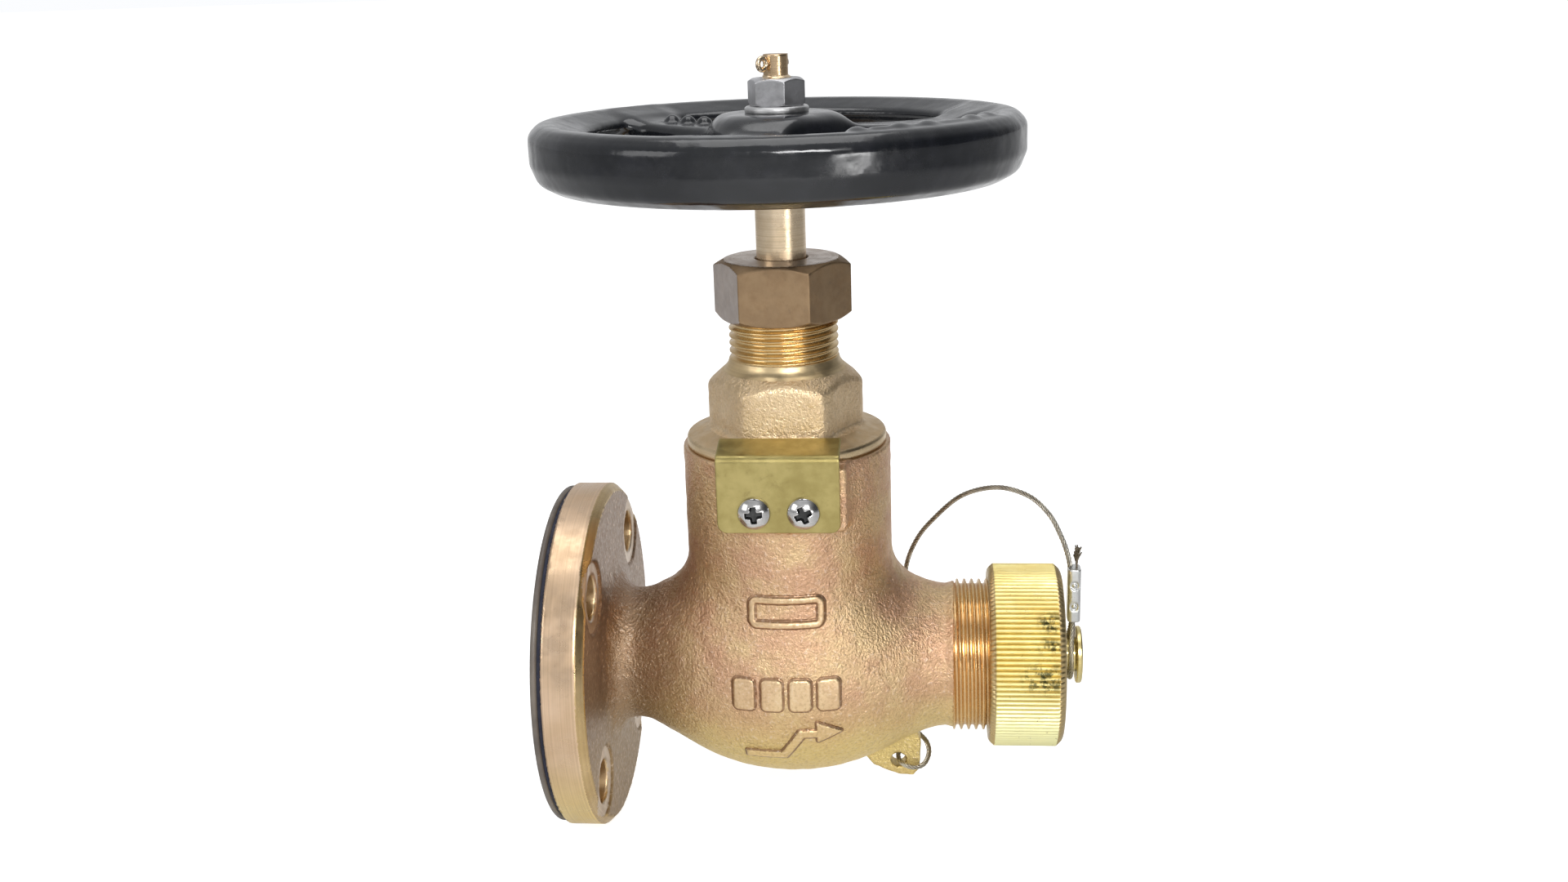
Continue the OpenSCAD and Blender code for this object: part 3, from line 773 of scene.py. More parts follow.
CAST = cast_bronze("cast_bronze")
# the raised marks' tops: a paler bronze as painted light
CAST_MARK_LIT = cast_bronze(
    "cast_marks", (0.76, 0.53, 0.31), (0.86, 0.64, 0.38), low=(0.80, 0.60, 0.27), depth=0.12)
# dark bronze for the marks' edges: painted shadow round the raised marks
MARK_EDGE_SHADE = cast_bronze(
    "cast_outline_painted_shadow", (0.36, 0.21, 0.12), (0.45, 0.28, 0.16), (0.22, 0.13, 0.07), (0.34, 0.21, 0.10), depth=0.1)
CAST_PALE = cast_bronze("cast_bonnet", (0.73, 0.54, 0.32), (0.83, 0.64, 0.40), (0.48, 0.33, 0.18), depth=0.28)
BACK_FACE = cast_bronze(
    "cast_flange_back", (0.42, 0.35, 0.29), (0.52, 0.44, 0.36), (0.27, 0.20, 0.15), grit=1.1, depth=0.15)
# low: painted floor reflection on the rim's lower part
RIM = turned(
    "machined_rim", (0.74, 0.53, 0.34), (0.84, 0.62, 0.43), "x", rough=0.34, line=0.5, stains=0.2,
    low=(0.98, 0.78, 0.34))
RIM_EDGE = turned("machined_rim_edge", (0.58, 0.42, 0.20), (0.68, 0.51, 0.27), "x", line=0.5)
SPOT = turned("machined_spot", (0.72, 0.60, 0.48), (0.82, 0.70, 0.56), "x", rough=0.4, line=0.6)
HOLE = turned("drilled_hole", (0.72, 0.54, 0.32), (0.84, 0.66, 0.40), "x", rough=0.36, stains=0.15)
BORE = turned("bored", (0.60, 0.42, 0.26), (0.74, 0.54, 0.34), "x", rough=0.32)
# low: painted floor reflection on the thread's lower part
HOSE_THREAD = turned(
    "hose_thread", (0.74, 0.49, 0.25), (0.86, 0.62, 0.32), "x", rough=0.26, line=2.5, depth=0.004,
    stain=(0.34, 0.19, 0.08), stains=0.1, low=(0.95, 0.72, 0.28))
GLAND_THREAD = turned(
    "gland_thread", (0.76, 0.53, 0.25), (0.88, 0.66, 0.34), "z", rough=0.26, line=2.5, depth=0.004,
    stain=(0.32, 0.19, 0.08), stains=0.1)
RING = turned("machined_ring", (0.76, 0.58, 0.32), (0.86, 0.68, 0.40), "z", rough=0.4, stains=0.15)
COLLAR = flat_metal(
    "collar_bronze", (0.60, 0.44, 0.25), (0.72, 0.55, 0.34), (0.30, 0.21, 0.11), rough=0.42, depth=0.03)
COLLAR_EDGE = turned("collar_edge", (0.80, 0.62, 0.37), (0.88, 0.70, 0.45), "z")
NUT = flat_metal(
    "gland_nut_bronze", (0.30, 0.20, 0.115), (0.38, 0.26, 0.15), (0.19, 0.14, 0.095), rough=0.48,
    brush=(1, 1, 0.1), depth=0.012)
# paler grey for the nut's left flats: painted light
NUT_LEFT_LIT = flat_metal(
    "gland_nut_left_painted_light", (0.48, 0.42, 0.38), (0.58, 0.51, 0.46), (0.30, 0.26, 0.23), rough=0.48,
    brush=(1, 1, 0.1), depth=0.012)
# pale top face of the nut: painted highlight
NUT_TOP_LIT = turned("gland_nut_top_painted_highlight", (0.90, 0.78, 0.68), (0.97, 0.87, 0.78), "z", rough=0.36)
SPINDLE = turned(
    "spindle_brass", (0.84, 0.66, 0.44), (0.94, 0.78, 0.57), "z", rough=0.24, line=0.4, stains=0.15)
PLATE = flat_metal(
    "plate_brass", (0.40, 0.325, 0.12), (0.53, 0.44, 0.18), (0.24, 0.18, 0.07), rough=0.38,
    brush=(0.12, 1, 1), stains=0.35)
CAP = stained_brass()
CAP_END = turned("cap_face_brass", (0.84, 0.68, 0.28), (0.94, 0.82, 0.42), "x", rough=0.26)
CAP_CHAMFER = turned("cap_chamfer", (0.56, 0.43, 0.20), (0.66, 0.52, 0.27), "x", rough=0.34)
STAINLESS = turned(
    "stainless", (0.62, 0.61, 0.60), (0.80, 0.79, 0.78), "z", rough=0.14, stain=(0.25, 0.24, 0.23),
    stains=0.2)
STEEL = flat_metal(
    "grey_steel", (0.52, 0.52, 0.53), (0.68, 0.68, 0.70), (0.28, 0.28, 0.29), rough=0.38, depth=0.02)
WASHER = flat_metal(
    "washer_steel", (0.58, 0.58, 0.58), (0.74, 0.74, 0.74), (0.30, 0.30, 0.30), rough=0.4, depth=0.03)
# near-black steel: painted shade in the screws' cross recess
RECESS_SHADE = flat_metal("recess_painted_shade", (0.06, 0.06, 0.06), (0.12, 0.12, 0.12), (0.03, 0.03, 0.03), rough=0.5)
STUB = turned("stub_brass", (0.66, 0.47, 0.28), (0.78, 0.58, 0.37), "z", rough=0.28, line=0.4, stains=0.15)
ENAMEL = enamel()
ALUMINIUM = flat_metal(
    "crimp_aluminium", (0.66, 0.67, 0.66), (0.84, 0.84, 0.81), (0.34, 0.34, 0.33), rough=0.3,
    brush=(1, 1, 0.2), depth=0.03)
WIRE = flat_metal(
    "wire_rope", (0.42, 0.39, 0.33), (0.58, 0.55, 0.47), (0.17, 0.15, 0.12), rough=0.34, patch=3)
TAIL_WIRE = flat_metal(
    "frayed_wire", (0.20, 0.16, 0.11), (0.32, 0.27, 0.20), (0.08, 0.06, 0.04), rough=0.4, patch=3)
# near-black blue: partly the gasket's own blue, partly painted shade of the gap between the guard and the
# flange
GASKET_BLUE_SHADE = plain("gasket_blue_painted_shade", (0.006, 0.008, 0.022), (0.010, 0.012, 0.032), 0.6)
PALE = plain("guard_plastic", (0.12, 0.10, 0.085), (0.20, 0.17, 0.14), 0.4, size=5, depth=0.03)
BLACK = plain("black_rubber", (0.02, 0.02, 0.02), (0.035, 0.035, 0.035), 0.6)
GRAPHITE = plain("graphite", (0.035, 0.035, 0.04), (0.06, 0.06, 0.065), 0.5, metallic=0.2)


def paint(ob, *mats):
    """Gives an object its material slots."""
    ob.data.materials.clear()
    for m in mats:
        ob.data.materials.append(m)
    return ob


def zones(ob, rule):
    """Sets each face's material from its centre in stem millimetres and its normal."""
    me = ob.data
    n = len(me.polygons)
    c, nor = np.empty(n * 3, np.float32), np.empty(n * 3, np.float32)
    me.polygons.foreach_get("center", c)
    me.polygons.foreach_get("normal", nor)
    c = c.reshape(-1, 3) / MM - [STEM_X, 0, 0]
    me.polygons.foreach_set("material_index", rule(c, nor.reshape(-1, 3)).astype(np.int32))
    me.update()


# ---------------------------------------------------------------- lanyard first

WIRE_ROUTE = [
    (32.5, 16, -24), (32, 21, -19), (31, 25, -10), (30.5, 26.5, 2), (31, 26, 15), (34, 25, 24),
    (39, 22.5, 31.5), (47, 18, 40), (56.5, 13, 44), (64.8, 8, 43.2), (70.3, 4.2, 39.1), (73.6, 1.6, 33.2),
    (75.2, 0.3, 28.6), (75.8, 0, 25.65)]
LUG_LOOP = [
    (32.4, 8.9, -26.4), (34.8, 5.8, -27.4), (36.9, 2.6, -28.4), (37.5, 0, -30.6), (36, -2.8, -32.6),
    (33, -3.9, -33), (30, -3.4, -32), (28.9, 0, -31.5), (29.4, 3.6, -30.6), (30.6, 6.8, -28.2),
    (31.4, 9, -26.5)]
CAP_LOOP = [
    (SLEEVE_X - 0.2, 1.3, SLEEVE_Z), (76.4, 3, 6.8), (76.1, 5.2, 3.2), (76.1, 5.7, -0.6), (76.1, 4.2, -4.5),
    (76.1, 0, -6.3), (76.1, -4.2, -4.5), (76.1, -5.7, -0.6), (76.1, -5.2, 3.2), (76.4, -3, 6.8),
    (SLEEVE_X - 0.2, -1.3, SLEEVE_Z)]


def curve_points(route, per):
    """The same smooth curve through the route as the CAD wire follows."""
    p = np.array(route, float)
    p = np.vstack([2 * p[0] - p[1], p, 2 * p[-1] - p[-2]])
    out = []
    for i in range(1, len(p) - 2):
        a, b, c, d = p[i - 1:i + 3]
        for u in np.arange(per) / per:
            square, cube = 2 * a - 5 * b + 4 * c - d, 3 * b - a - 3 * c + d
            out.append(0.5 * (2 * b + (c - a) * u + square * u * u + cube * u ** 3))
    out.append(p[-2])
    return np.array(out)


def frames(line):
    """The tangent and two steady normals at each point of a line."""
    t = np.gradient(line, axis=0)
    t /= np.linalg.norm(t, axis=1)[:, None]
    n = np.array([0.31, 0.53, 0.79])
    normals = []
    for v in t:
        n = n - v * (n @ v)
        n /= np.linalg.norm(n)
        normals.append(n)
    normals = np.array(normals)
    return t, normals, np.cross(t, normals)


def rope(name, route, step=0.32, strands=6, d=WIRE_D, lay=7.0):
    """Stranded wire rope: strands twisted round the route and a straight one inside, as closed tubes."""
    line = curve_points(route, 40)
    seg = np.concatenate([[0], np.cumsum(np.linalg.norm(np.diff(line, axis=0), axis=1))])
    n = int(seg[-1] / step)
    s = np.linspace(0, seg[-1], n)
    line = np.stack([np.interp(s, seg, line[:, k]) for k in range(3)], 1)
    _, u, v = frames(line)
    verts, faces = [], []
    radius, sides = d / 6, 7
    for k in range(strands + 1):
        off = (d / 2 - radius) if k < strands else 0.0
        a = 2 * math.pi * (k / strands + s / lay)
        c = line + off * (np.cos(a)[:, None] * u + np.sin(a)[:, None] * v)
        base = len(verts)
        for i in range(n):
            for j in range(sides):
                b = 2 * math.pi * j / sides + a[i]
                verts.append(c[i] + radius * (math.cos(b) * u[i] + math.sin(b) * v[i]))
        for i in range(n - 1):
            near, far = base + i * sides, base + (i + 1) * sides
            for j in range(sides):
                j2 = (j + 1) % sides
                faces.append((near + j, near + j2, far + j2, far + j))
        faces.append(tuple(base + j for j in range(sides))[::-1])
        faces.append(tuple(base + (n - 1) * sides + j for j in range(sides)))
    ob = link(name, place(verts), faces)
    return paint(ob, WIRE), line


lanyard, lanyard_line = rope("lanyard", WIRE_ROUTE)
lug_rope, _ = rope("lug_rope", LUG_LOOP)
cap_rope, _ = rope("cap_rope", CAP_LOOP)
LANYARD_LENGTH = float(np.linalg.norm(np.diff(lanyard_line, axis=0), axis=1).sum()) * MM


def crimped_sleeve(name, length):
    """Oval sleeve with two round crimp marks on each narrow side, along +Z from the origin."""
    def f(x, y, z):
        q = box2(x, y, 0, 0, 1.72, 2.72, 1.2)
        q = smax(q, slab(z, 0, length), 0.35)
        for zc in (length * 0.3, length * 0.7):
            side = np.abs(y)
            q = smax(q, 1.7 - np.sqrt(x ** 2 + (side - 3.7) ** 2 + (z - zc) ** 2), 0.25)
            q = smin(q, np.sqrt(x ** 2 + (side - 1.85) ** 2 + (z - zc) ** 2) - 0.8, 0.2)
        return q
    ob = shape(name, f, (-2.4, -3.4, -0.8), (2.4, 3.4, length + 0.8), 0.22)
    return paint(ob, ALUMINIUM)


# takes off what place() adds, to turn a piece about its own origin
UNPLACE = Matrix.Translation((-STEM_X * MM, 0, 0))


def move(ob, *steps):
    for matrix in steps:
        ob.data.transform(matrix)
    ob.data.update()


cap_ferrule = crimped_sleeve("cap_ferrule", 15.1)
move(cap_ferrule, Matrix.Translation((SLEEVE_X * MM, 0, SLEEVE_Z * MM)))
start, stop = Vector((31.9, 9, -26.4)), Vector(WIRE_ROUTE[0])
lug_ferrule = crimped_sleeve("lug_ferrule", (stop - start).length)
aim = (stop - start).normalized()
turn = Matrix.Rotation(math.atan2(aim.y, aim.x), 4, "Z") @ Matrix.Rotation(math.acos(aim.z), 4, "Y")
move(lug_ferrule, UNPLACE, turn, Matrix.Translation(Vector(place(start))))


def frayed_tail(name, root, n=16, length=5.6, seed=4):
    """Loose strands that stand out of the top of the cap sleeve."""
    rng = np.random.default_rng(seed)
    parts = []
    for k in range(n):
        a = 2 * math.pi * k / n + rng.uniform(-0.3, 0.3)
        lean = rng.uniform(0.3, 1.3)
        top = length * rng.uniform(0.55, 1.0)
        tip = np.array([0.3 + 1.15 * lean * math.cos(a), 1.1 + 1.5 * lean * math.sin(a), top])
        mid = np.array([0.25 * math.cos(a), 0.6 + 0.3 * math.sin(a), top * 0.5])
        route = [np.array(root), np.array(root) + mid, np.array(root) + tip]
        ob, _ = rope(name, route, step=0.35, strands=3, d=0.5, lay=3.0)
        parts.append(paint(ob, TAIL_WIRE))
    return join(name, parts)


tail = frayed_tail("wire_tail", (77.6, 0.3, 25.2))

for piece in (lug_rope, lug_ferrule):
    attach(piece, "valve")
for piece in (cap_rope, cap_ferrule, tail):
    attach(piece, "lanyard_end")
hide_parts("lanyard_wire")
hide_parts("lug_loop")
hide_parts("cap_loop")
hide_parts("cap_sleeve")
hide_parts("lug_sleeve")


# ---------------------------------------------------------------- valve body

def body_zones(c, nor):
    """Slots: 0 cast, 1 rim, 2 back face, 3 spot face, 4 bolt hole, 5 bore, 7 rim edge."""
    x, y, z = c.T
    nx, nz = nor[:, 0], nor[:, 2]
    r, rho, bolt = np.hypot(y, z), np.hypot(x, y), bolt_distance(y, z)
    out = np.zeros(len(c))
    out[(x < -48.6) & (nx > 0.8) & (r > 21)] = 2
    out[(x < -49.2) & (r > 45.2)] = 1
    out[(x < -49.2) & (r > 45.2) & (nx > 0.4)] = 7
    out[x < -60.2] = 1
    out[(x < -49.2) & (r > 20) & (bolt < 9.3) & (nx > 0.7)] = 3
    out[(x < -49.0) & (bolt < 6.2) & (np.abs(nx) < 0.7)] = 4
    out[(rho < 24.2) & (z > 15) & (z < 62.5) & (np.abs(nz) < 0.6)] = 5
    out[(r < 14.3) & (np.abs(x) > 27) & (np.abs(nx) < 0.9)] = 5
    out[(z > 60.5) & (rho < 27.3)] = 5
    return out


body = shape("body_casting", body_field, (-61.2, -49, -49), (45.4, 49, 63.2), cell(0.62))
paint(body, CAST, RIM, BACK_FACE, SPOT, HOLE, BORE, HOSE_THREAD, RIM_EDGE)
zones(body, body_zones)
hose = thread("hose_thread", HOSE_CREST, 1.3, 44.2, HOSE_X1, HOSE_PITCH, "x", OUTLET_R, lead=1.6, n=180)
paint(hose, HOSE_THREAD)
marks = shape("flow_arrow_and_blocks", mark_field, (-17, -36, -20.5), (18, -17, 28.6), cell(0.3))
# slot 0 gives the marks' tops painted light, slot 1 darkens their edges with painted shadow
paint(marks, CAST_MARK_LIT, MARK_EDGE_SHADE)
zones(marks, lambda c, nor: np.where(mark_outline(c[:, 0], c[:, 2]) > -0.15, 1, 0))
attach(body, "valve")
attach(hose, "valve")
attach(marks, "valve")
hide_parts("valve_body")
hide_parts("valve_body")
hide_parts("valve_body")


def guard_field(x, y, z):
    """A soft-edged ring over the flange's face, with the bolt holes and the bore."""
    r = np.hypot(y, z)
    q = smax(r - GUARD_R, slab(x, GUARD_X0, GUARD_X1), 1.6)
    return np.maximum(np.maximum(q, GUARD_BORE - r), BOLT_R - bolt_distance(y, z))


wide = GUARD_R + 1
guard = shape(
    "face_guard", guard_field, (GUARD_X0 - 1, -wide, -wide), (GUARD_X1 + 1, wide, wide), cell(0.5),
    decimate=0.35)
paint(guard, PALE)
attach(guard, "valve")
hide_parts("flange_guard")

# ---------------------------------------------------------------- bonnet

def bonnet_zones(c, nor):
    """Slots: 0 cast, 1 ring, 2 collar, 3 bore, 4 collar edge."""
    x, y, z = c.T
    rho = np.hypot(x, y)
    out = np.zeros(len(c))
    out[(z > 79.2) & (rho < 16.5)] = 1
    out[(z < 66.6) & (rho > 20.5)] = 2
    out[(z < 64.8) & (rho > 25.6) & (nor[:, 2] < 0.75)] = 4
    out[(z < 62) | (rho < 13)] = 3
    return out


bonnet = shape("bonnet_casting", bonnet_field, (-27.6, -27.6, 45), (27.6, 27.6, 86.4), cell(0.45))
paint(bonnet, CAST_PALE, RING, COLLAR, BORE, COLLAR_EDGE)
zones(bonnet, bonnet_zones)
gland_thread = paint(
    thread("gland_thread", GLAND_THREAD_R, 1.2, 85.2, 106, 2.0, "z", BOX_R, lead=1.6), GLAND_THREAD)
skirt_thread = paint(thread("bonnet_thread", SKIRT_R, 1.1, 46, 60, 2.0, "z", SKIRT_BORE, lead=1.6), BORE)
packing_seat = paint(
    spin("packing_seat", [(6.8, 85.9), (12.6, 85.9), (12.6, 89), (6.8, 89)], closed=True), BORE)
for piece in (bonnet, gland_thread, skirt_thread, packing_seat):
    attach(piece, "valve")
    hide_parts("bonnet")


def chamfered_hex(name, af, turn, z0, z1, bore, low, high, mat, h, soft, step_z=None, bore2=None):
    """Hexagonal nut with turned chamfers; bore2 is a second bore above step_z."""
    corner = af / math.sqrt(3)

    def f(x, y, z):
        rho = np.hypot(x, y)
        q = hexagon(x, y, af, turn)
        q = smax(q, slab(z, z0, z1), soft)
        top = (rho - (corner - high * 1.7)) * 0.507 + (z - z1) * 0.862
        bottom = (rho - (corner - low * 1.7)) * 0.507 + (z0 - z) * 0.862
        q = smax(smax(q, top, soft * 0.6), bottom, soft * 0.6)
        if step_z is None:
            return smax(q, bore - rho, 0.4)
        q = smax(q, -np.maximum(rho - bore, z - step_z), 0.3)
        return smax(q, bore2 - rho, 0.5)

    wide = corner + 1
    return paint(shape(name, f, (-wide, -wide, z0 - 1), (wide, wide, z1 + 1), cell(h)), mat)


gland_nut = chamfered_hex(
    "gland_nut_hex", NUT_AF, NUT_TURN, NUT_Z0, NUT_Z1, 14.5, 1.4, 1.9, NUT, h=0.3, soft=0.35,
    step_z=108, bore2=6.8)


def nut_zones(c, nor):
    """The top gets a painted highlight and the flats on the left a paler grey as painted light, each as its
    own material.
    """
    top = (c[:, 2] > 110) & (nor[:, 2] > 0.95)
    left = (nor[:, 0] < -0.6) & (nor[:, 1] < 0) & (np.abs(nor[:, 2]) < 0.3)
    return np.where(top, 1, np.where(left, 2, 0))


zones(paint(gland_nut, NUT, NUT_TOP_LIT, NUT_LEFT_LIT), nut_zones)
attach(gland_nut, "valve")
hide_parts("gland_nut")

# ---------------------------------------------------------------- lock plate and screws


def plate_field(x, y, z):
    """The bent lock plate, 1 mm thick, with its two screw holes."""
    lean = math.radians(13.9)
    by, bz = PLATE_Y + 2, 63.9
    # distance from the middle of the sheet: a leg, a bend of radius 1.5 and a leaning tab
    leg = np.hypot(y - (PLATE_Y + 0.5), np.maximum(z - bz, 0))
    u, v = y - by, z - bz
    ang = np.arctan2(v, -u)
    bend = np.where((v > 0) & (ang < math.pi / 2 + lean) & (ang > 0), np.abs(np.hypot(u, v) - 1.5), 9)
    a, b = u * math.cos(lean) + v * math.sin(lean), -u * math.sin(lean) + v * math.cos(lean)
    tab = np.hypot(b - 1.5, np.maximum(-a, 0) + np.maximum(a - 8.3, 0))
    d = np.minimum(np.minimum(np.where(v <= 0, leg, 9), bend), tab) - 0.5
    outline = box2(x, z, 0, 45.5 + 20, PLATE_HALF, 20, 2.5)
    d = smax(d, outline, 0.3)
    for sx in SCREW_X:
        d = smax(d, 2.2 - np.hypot(x - sx, z - SCREW_Z), 0.2)
    return d


plate = shape(
    "brass_lock_plate", plate_field, (-16.6, -30.4, 44.6), (16.6, -18, 69.4), cell(0.27), decimate=0.45)
paint(plate, PLATE)
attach(plate, "valve")
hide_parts("lock_plate")


def screw_field(x, y, z):
    """Pan head with a cross recess, head towards +Z from z = 0."""
    rho = np.hypot(x, y)
    head = smax(np.sqrt(rho ** 2 + (z + 3.0) ** 2) - 5.55, rho - 4.25, 0.3)
    head = smax(head, -z, 0.25)
    u, v = turn_xy(x, y, math.radians(10))
    slots = [
        np.maximum(np.abs(p) - 2.3 - 0.25 * (z - 2.2), np.abs(q) - 0.6 - 0.18 * (z - 1.2))
        for p, q in ((u, v), (v, u))]
    cross = smin(np.minimum(*slots), rho - 1.1, 0.35)
    cross = np.maximum(cross, 0.6 + 0.12 * rho - z)
    head = smax(head, -cross, 0.12)
    shank = np.maximum(rho - 1.98, slab(z, -4.2, 0.6))
    return np.minimum(head, shank)


def screw_zones(c, nor):
    """The cross recess is everything well under the domed face; it is painted dark as shade."""
    under = np.sqrt(c[:, 0] ** 2 + c[:, 1] ** 2 + (c[:, 2] + 3.0) ** 2) < 5.38
    return np.where(under & (c[:, 2] > 0.4) & (np.hypot(c[:, 0], c[:, 1]) < 3.2), 1, 0)


for k, (sx, angle) in enumerate(zip(SCREW_X, SCREW_TURNS)):
    screw = shape(
        f"pan_screw_{k + 1}", screw_field, (-4.8, -4.8, -4.8), (4.8, 4.8, 3.4), cell(0.16), decimate=0.5)
    zones(paint(screw, STAINLESS, RECESS_SHADE), screw_zones)
    facing = Matrix.Rotation(math.radians(90), 4, "X") @ Matrix.Rotation(math.radians(angle), 4, "Z")
    move(screw, UNPLACE, Matrix.Translation(Vector(place((sx, PLATE_Y, SCREW_Z)))) @ facing)
    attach(screw, "valve")
    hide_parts("lock_screws")

# ---------------------------------------------------------------- handwheel and stem

wheel = shape("cast_handwheel", wheel_full, (-64, -64, 126.5), (64, 64, 149.5), cell(0.72))
paint(wheel, ENAMEL)
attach(wheel, "stem")
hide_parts("handwheel")

wheel_nut = chamfered_hex(
    "wheel_hex_nut", 13, -9, WASHER_TOP, WHEEL_NUT_TOP, 4.03, 0.5, 0.9, STEEL, h=0.2, soft=0.25)
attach(wheel_nut, "stem")
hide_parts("wheel_nut")


def washer_field(x, y, z):
    rho = np.hypot(x, y)
    return smax(smax(rho - 8.2, slab(z, HUB_TOP, WASHER_TOP), 0.9), 4.2 - rho, 0.3)


washer = paint(shape("plain_washer", washer_field, (-9, -9, 147), (9, 9, 151), 0.25, decimate=0.4), WASHER)
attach(washer, "stem")
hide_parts("wheel_washer")


def stub_field(x, y, z):
    """Turned end above the wheel nut, cross-drilled for the split pin."""
    _, v = turn_xy(x, y, PIN_TURN)
    q = smax(np.hypot(x, y) - STUB_R, slab(z, 156.2, STUB_TOP), 0.4)
    return smax(q, 0.8 - np.hypot(v, z - PIN_Z), 0.15)


spindle_parts = [
    paint(spin("spindle_rod", [
        (0, 14.1), (5.6, 14.1), (6, 14.5), (6, 17.4), (5.6, 17.8), (4.2, 17.9), (4.2, 27.5), (6.3, 27.5),
        (6.8, 28), (6.8, 40), (6.6, 41), (6.6, 75), (6.5, 76), (6.5, 127.4), (6.0, 128), (4.9, 128.2),
        (4.9, 147.7), (3.2, 148), (3.2, 157), (0, 157)]), SPINDLE),
    paint(thread("spindle_thread", 8.0, 1.2, 41, 76, 3.0, "z", 6.4, lead=1.2), SPINDLE),
    paint(thread("stub_thread", 4.0, 0.65, 147.7, 157.4, 1.25, "z", 3.0, lead=0.6, n=96), SPINDLE),
    paint(shape("stub", stub_field, (-4, -4, 155.5), (4, 4, 163.4), 0.2, decimate=0.6), STUB)]
spindle = join("turned_spindle", spindle_parts)
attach(spindle, "stem")
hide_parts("spindle")


def pin_field(x, y, z):
    """Split pin: round eye at one end, shank through the stub, the legs bent up at the other."""
    u, v = turn_xy(x, y, PIN_TURN)
    w = z - PIN_Z
    eye = np.hypot(np.hypot(u + 5.0, w) - 1.4, v) - 0.65
    shank = np.maximum(np.hypot(v, w) - 0.75, slab(u, -3.8, 4.3))
    legs = np.maximum(np.hypot(u - 3.85, v) - 0.62, slab(w, -0.3, 2.2))
    return smin(smin(eye, shank, 0.4), legs, 0.4)


pin = paint(shape("cotter_pin", pin_field, (-6, -7, 157), (4, 5, 163.6), 0.2, decimate=0.6), SPINDLE)
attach(pin, "stem")
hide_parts("split_pin")

# ---------------------------------------------------------------- outlet cap

def knurled_cap():
    """The cap, hollow from behind, with a wave of ridges cut into its rim."""
    wave = [0, 0.35, 0.9, 1, 0.9, 0.35]
    n = KNURLS * len(wave)
    # radius, distance along the pipe and the knurl's depth
    prof = [
        (CAP_BORE, CAP_FLOOR, 0), (CAP_BORE, 54.3, 0), (21.4, CAP_X0, 0), (23.3, CAP_X0, 0),
        (24.0, 54.2, 0.3), (CAP_R, 55.2, 0.75), (CAP_R, 55.6, 0.75), (CAP_R, 60, 0.75), (CAP_R, 66, 0.75),
        (CAP_R, 69, 0.75),
        (CAP_R, 71.2, 0.75), (CAP_R, 71.8, 0.75), (24.5, 72.3, 0.3), (23.6, 73.2, 0), (22.9, 73.55, 0),
        (22, CAP_X1, 0), (4.6, CAP_X1, 0)]
    verts = [
        on_axis("x", r - depth * (1 - wave[k % len(wave)]), 2 * math.pi * k / n, d)
        for k in range(n) for r, d, depth in prof]
    m, centre = len(prof), len(verts)
    faces = ring_faces(n, m)
    verts += [(CAP_X1, 0, 0), (CAP_FLOOR, 0, 0)]
    for k in range(n):
        k2 = (k + 1) % n
        faces.append((k * m + m - 1, k2 * m + m - 1, centre))
        faces.append((k2 * m, k * m, centre + 1))
    ob = link("knurled_cap", place(verts), faces)
    tidy(ob)
    sharp_edges(ob, 50)
    return ob


def cap_zones(c, nor):
    """Slots: 0 knurled rim, 1 end face and bore, 2 chamfers."""
    x, y, z = c.T
    chamfer = (x < 55.0) | (x > 71.9)
    return np.where((x > 73.4) | (np.hypot(y, z) < 21), 1, np.where(chamfer, 2, 0))


cap = paint(knurled_cap(), CAP, CAP_END, CAP_CHAMFER)
zones(cap, cap_zones)
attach(cap, "outlet_cap")
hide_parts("cap")
stud = paint(spin("rivet_stud", [
    (0, 69.5), (5, 69.5), (5, CAP_FLOOR), (3, 70.5), (3, CAP_X1), (4.5, 73.62), (4.5, 77.3), (4.8, 77.6),
    (7.5, 77.6), (7.8, 77.85), (7.8, 78.7), (7.5, 79.05), (6.4, 79.2), (0, 79.2)], axis="x", n=96), CAP_END)
sharp_edges(stud, 40)
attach(stud, "outlet_cap")
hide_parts("cap_stud")

# ---------------------------------------------------------------- CAD nodes that stay

KEEP = {
    "flange_gasket": GASKET_BLUE_SHADE, "bonnet_gasket": GRAPHITE, "packing_rings": GRAPHITE, "packing_gland": RING,
    "disc": RING, "disc_nut": RING, "cap_gasket": BLACK}
for name, mat in KEEP.items():
    paint(NODES[name], mat)

# ---------------------------------------------------------------- floor, light, world

MID = (0.07, 0, 0.05)  # metres, about the middle of the valve
FLOOR_HALF = 200.0


def side_fall(tree, direction, near, right, left):
    """Bright along Y and different along X: a value by how far a direction points to the right or left."""
    unit = tree.nodes.new("ShaderNodeVectorMath")
    unit.operation = "NORMALIZE"
    tree.links.new(direction, unit.inputs[0])
    sep = tree.nodes.new("ShaderNodeSeparateXYZ")
    tree.links.new(unit.outputs[0], sep.inputs[0])
    value = near
    for start, end, far in ((0.2, 0.9, right), (-0.3, -0.8, left)):
        fall = tree.nodes.new("ShaderNodeMapRange")
        fall.interpolation_type = "SMOOTHSTEP"
        fall.inputs["From Min"].default_value = start
        fall.inputs["From Max"].default_value = end
        fall.inputs["To Max"].default_value = far
        tree.links.new(sep.outputs[0], fall.inputs["Value"])
        if value is near:
            fall.inputs["To Min"].default_value = near
        else:
            tree.links.new(value, fall.inputs["To Min"])
        value = fall.outputs["Result"]
    return value


def seen_or(tree, seen, other):
    """One value where the camera looks straight at it, another for the light it throws."""
    path = tree.nodes.new("ShaderNodeLightPath")
    mix = tree.nodes.new("ShaderNodeMix")
    tree.links.new(path.outputs["Is Camera Ray"], mix.inputs[0])
    tree.links.new(other, mix.inputs[2])
    mix.inputs[3].default_value = seen
    return mix.outputs[0]


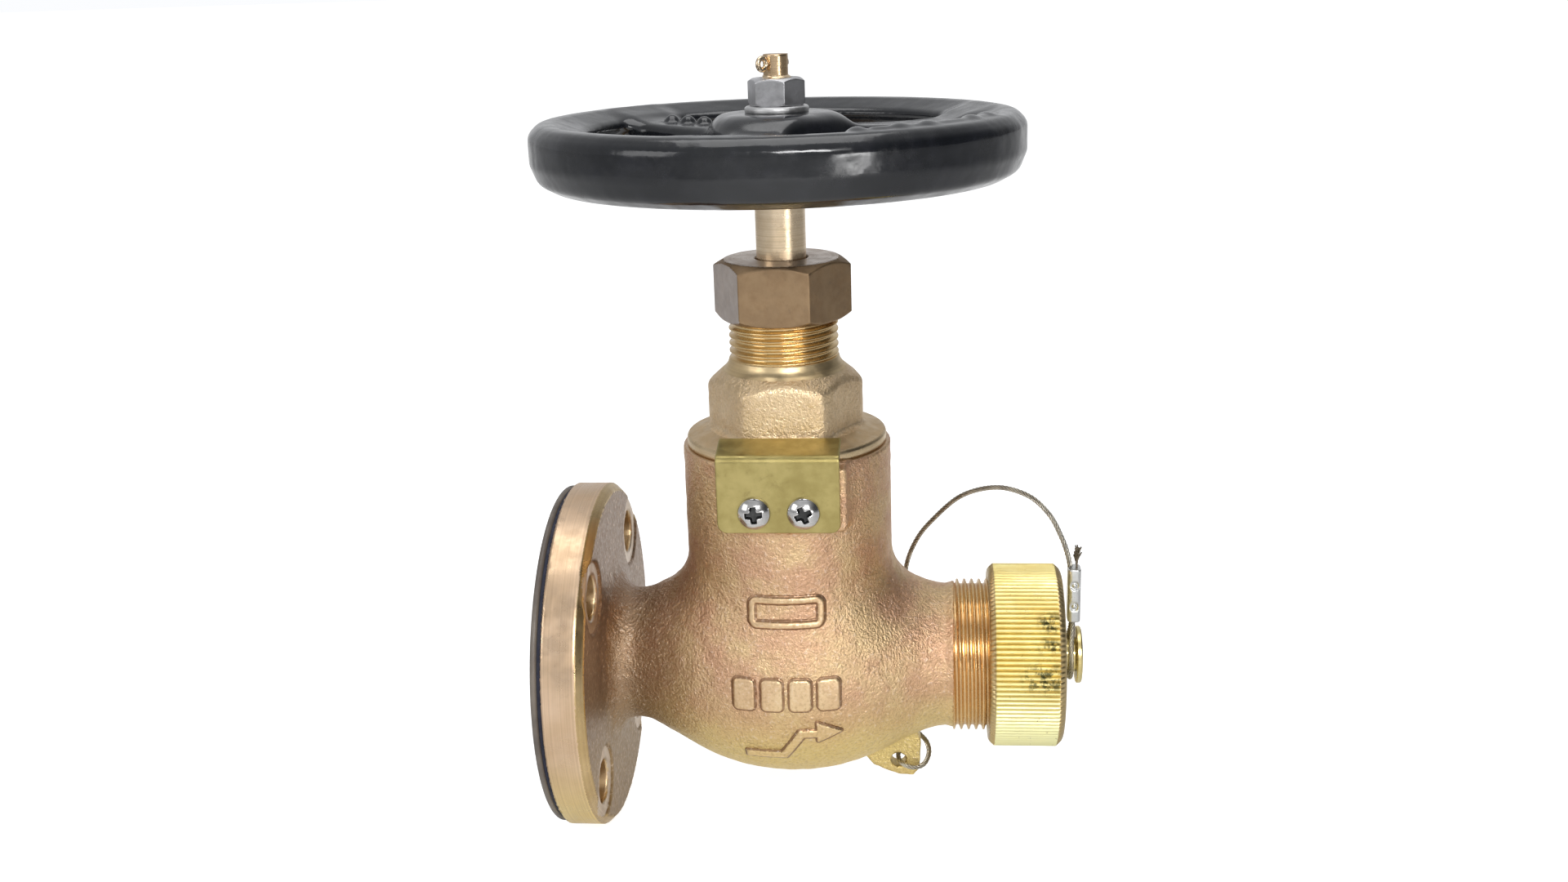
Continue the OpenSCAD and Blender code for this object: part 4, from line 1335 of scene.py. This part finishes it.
floor_mat = bpy.data.materials.new("pale_floor")
floor_mat.use_nodes = True
ft = floor_mat.node_tree
fb = ft.nodes["Principled BSDF"]
fb.inputs["Base Color"].default_value = (0.6, 0.6, 0.6, 1)
fb.inputs["Roughness"].default_value = 0.95
fb.inputs["Specular IOR Level"].default_value = 0.0
fb.inputs["Emission Color"].default_value = (1, 1, 1, 1)
from_mid = ft.nodes.new("ShaderNodeVectorMath")
from_mid.operation = "SUBTRACT"
ft.links.new(ft.nodes.new("ShaderNodeNewGeometry").outputs["Position"], from_mid.inputs[0])
from_mid.inputs[1].default_value = MID
glow = seen_or(ft, 0.8, side_fall(ft, from_mid.outputs[0], 0.36, 0.0, 0.05))
ft.links.new(glow, fb.inputs["Emission Strength"])
me = bpy.data.meshes.new("floor")
corners = [(x * FLOOR_HALF, y * FLOOR_HALF, FLOOR_Z) for x, y in ((-1, -1), (1, -1), (1, 1), (-1, 1))]
me.from_pydata(corners, [], [(0, 1, 2, 3)])
me.materials.append(floor_mat)
floor = bpy.data.objects.new("floor", me)
bpy.context.scene.collection.objects.link(floor)


def softbox(name, at, size, power):
    """A rectangular lamp facing the valve."""
    data = bpy.data.lights.new(name, "AREA")
    data.shape = "RECTANGLE"
    data.size, data.size_y = size
    data.energy = power
    ob = bpy.data.objects.new(name, data)
    facing = (Vector(MID) - Vector(at)).to_track_quat("-Z", "Y").to_matrix().to_4x4()
    ob.matrix_world = Matrix.Translation(at) @ facing
    bpy.context.scene.collection.objects.link(ob)


softbox("key_front", (0.36, -1.0, 0.62), (0.5, 0.2), 5.2)
softbox("top", (0.05, 0.1, 1.3), (1.0, 0.8), 5)
softbox("left", (-1.1, -0.8, 0.6), (0.7, 0.7), 3.1)
softbox("front_low", (0.82, -0.95, 0.08), (0.36, 0.12), 1.35)

world = bpy.data.worlds.new("world")
world.use_nodes = True
wt = world.node_tree
back = wt.nodes["Background"]
way = wt.nodes.new("ShaderNodeTexCoord").outputs["Generated"]
wt.links.new(seen_or(wt, 1.0, side_fall(wt, way, 0.60, 0.07, 0.42)), back.inputs["Strength"])
back.inputs["Color"].default_value = (0.97, 0.98, 1.0, 1)
bpy.context.scene.world = world
bpy.context.scene.view_settings.view_transform = "Standard"
bpy.context.scene.view_settings.look = "None"

# ---------------------------------------------------------------- last: the wire's transform baked into its mesh

tuple(place((34, 25, 24)))
tuple(place((75.2, 0.3, 28.6)))
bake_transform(lanyard)
tuple(place(WIRE_ROUTE[0]))
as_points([tuple(place(p)) for p in lanyard_line[::6]] + [tuple(place(lanyard_line[-1]))])
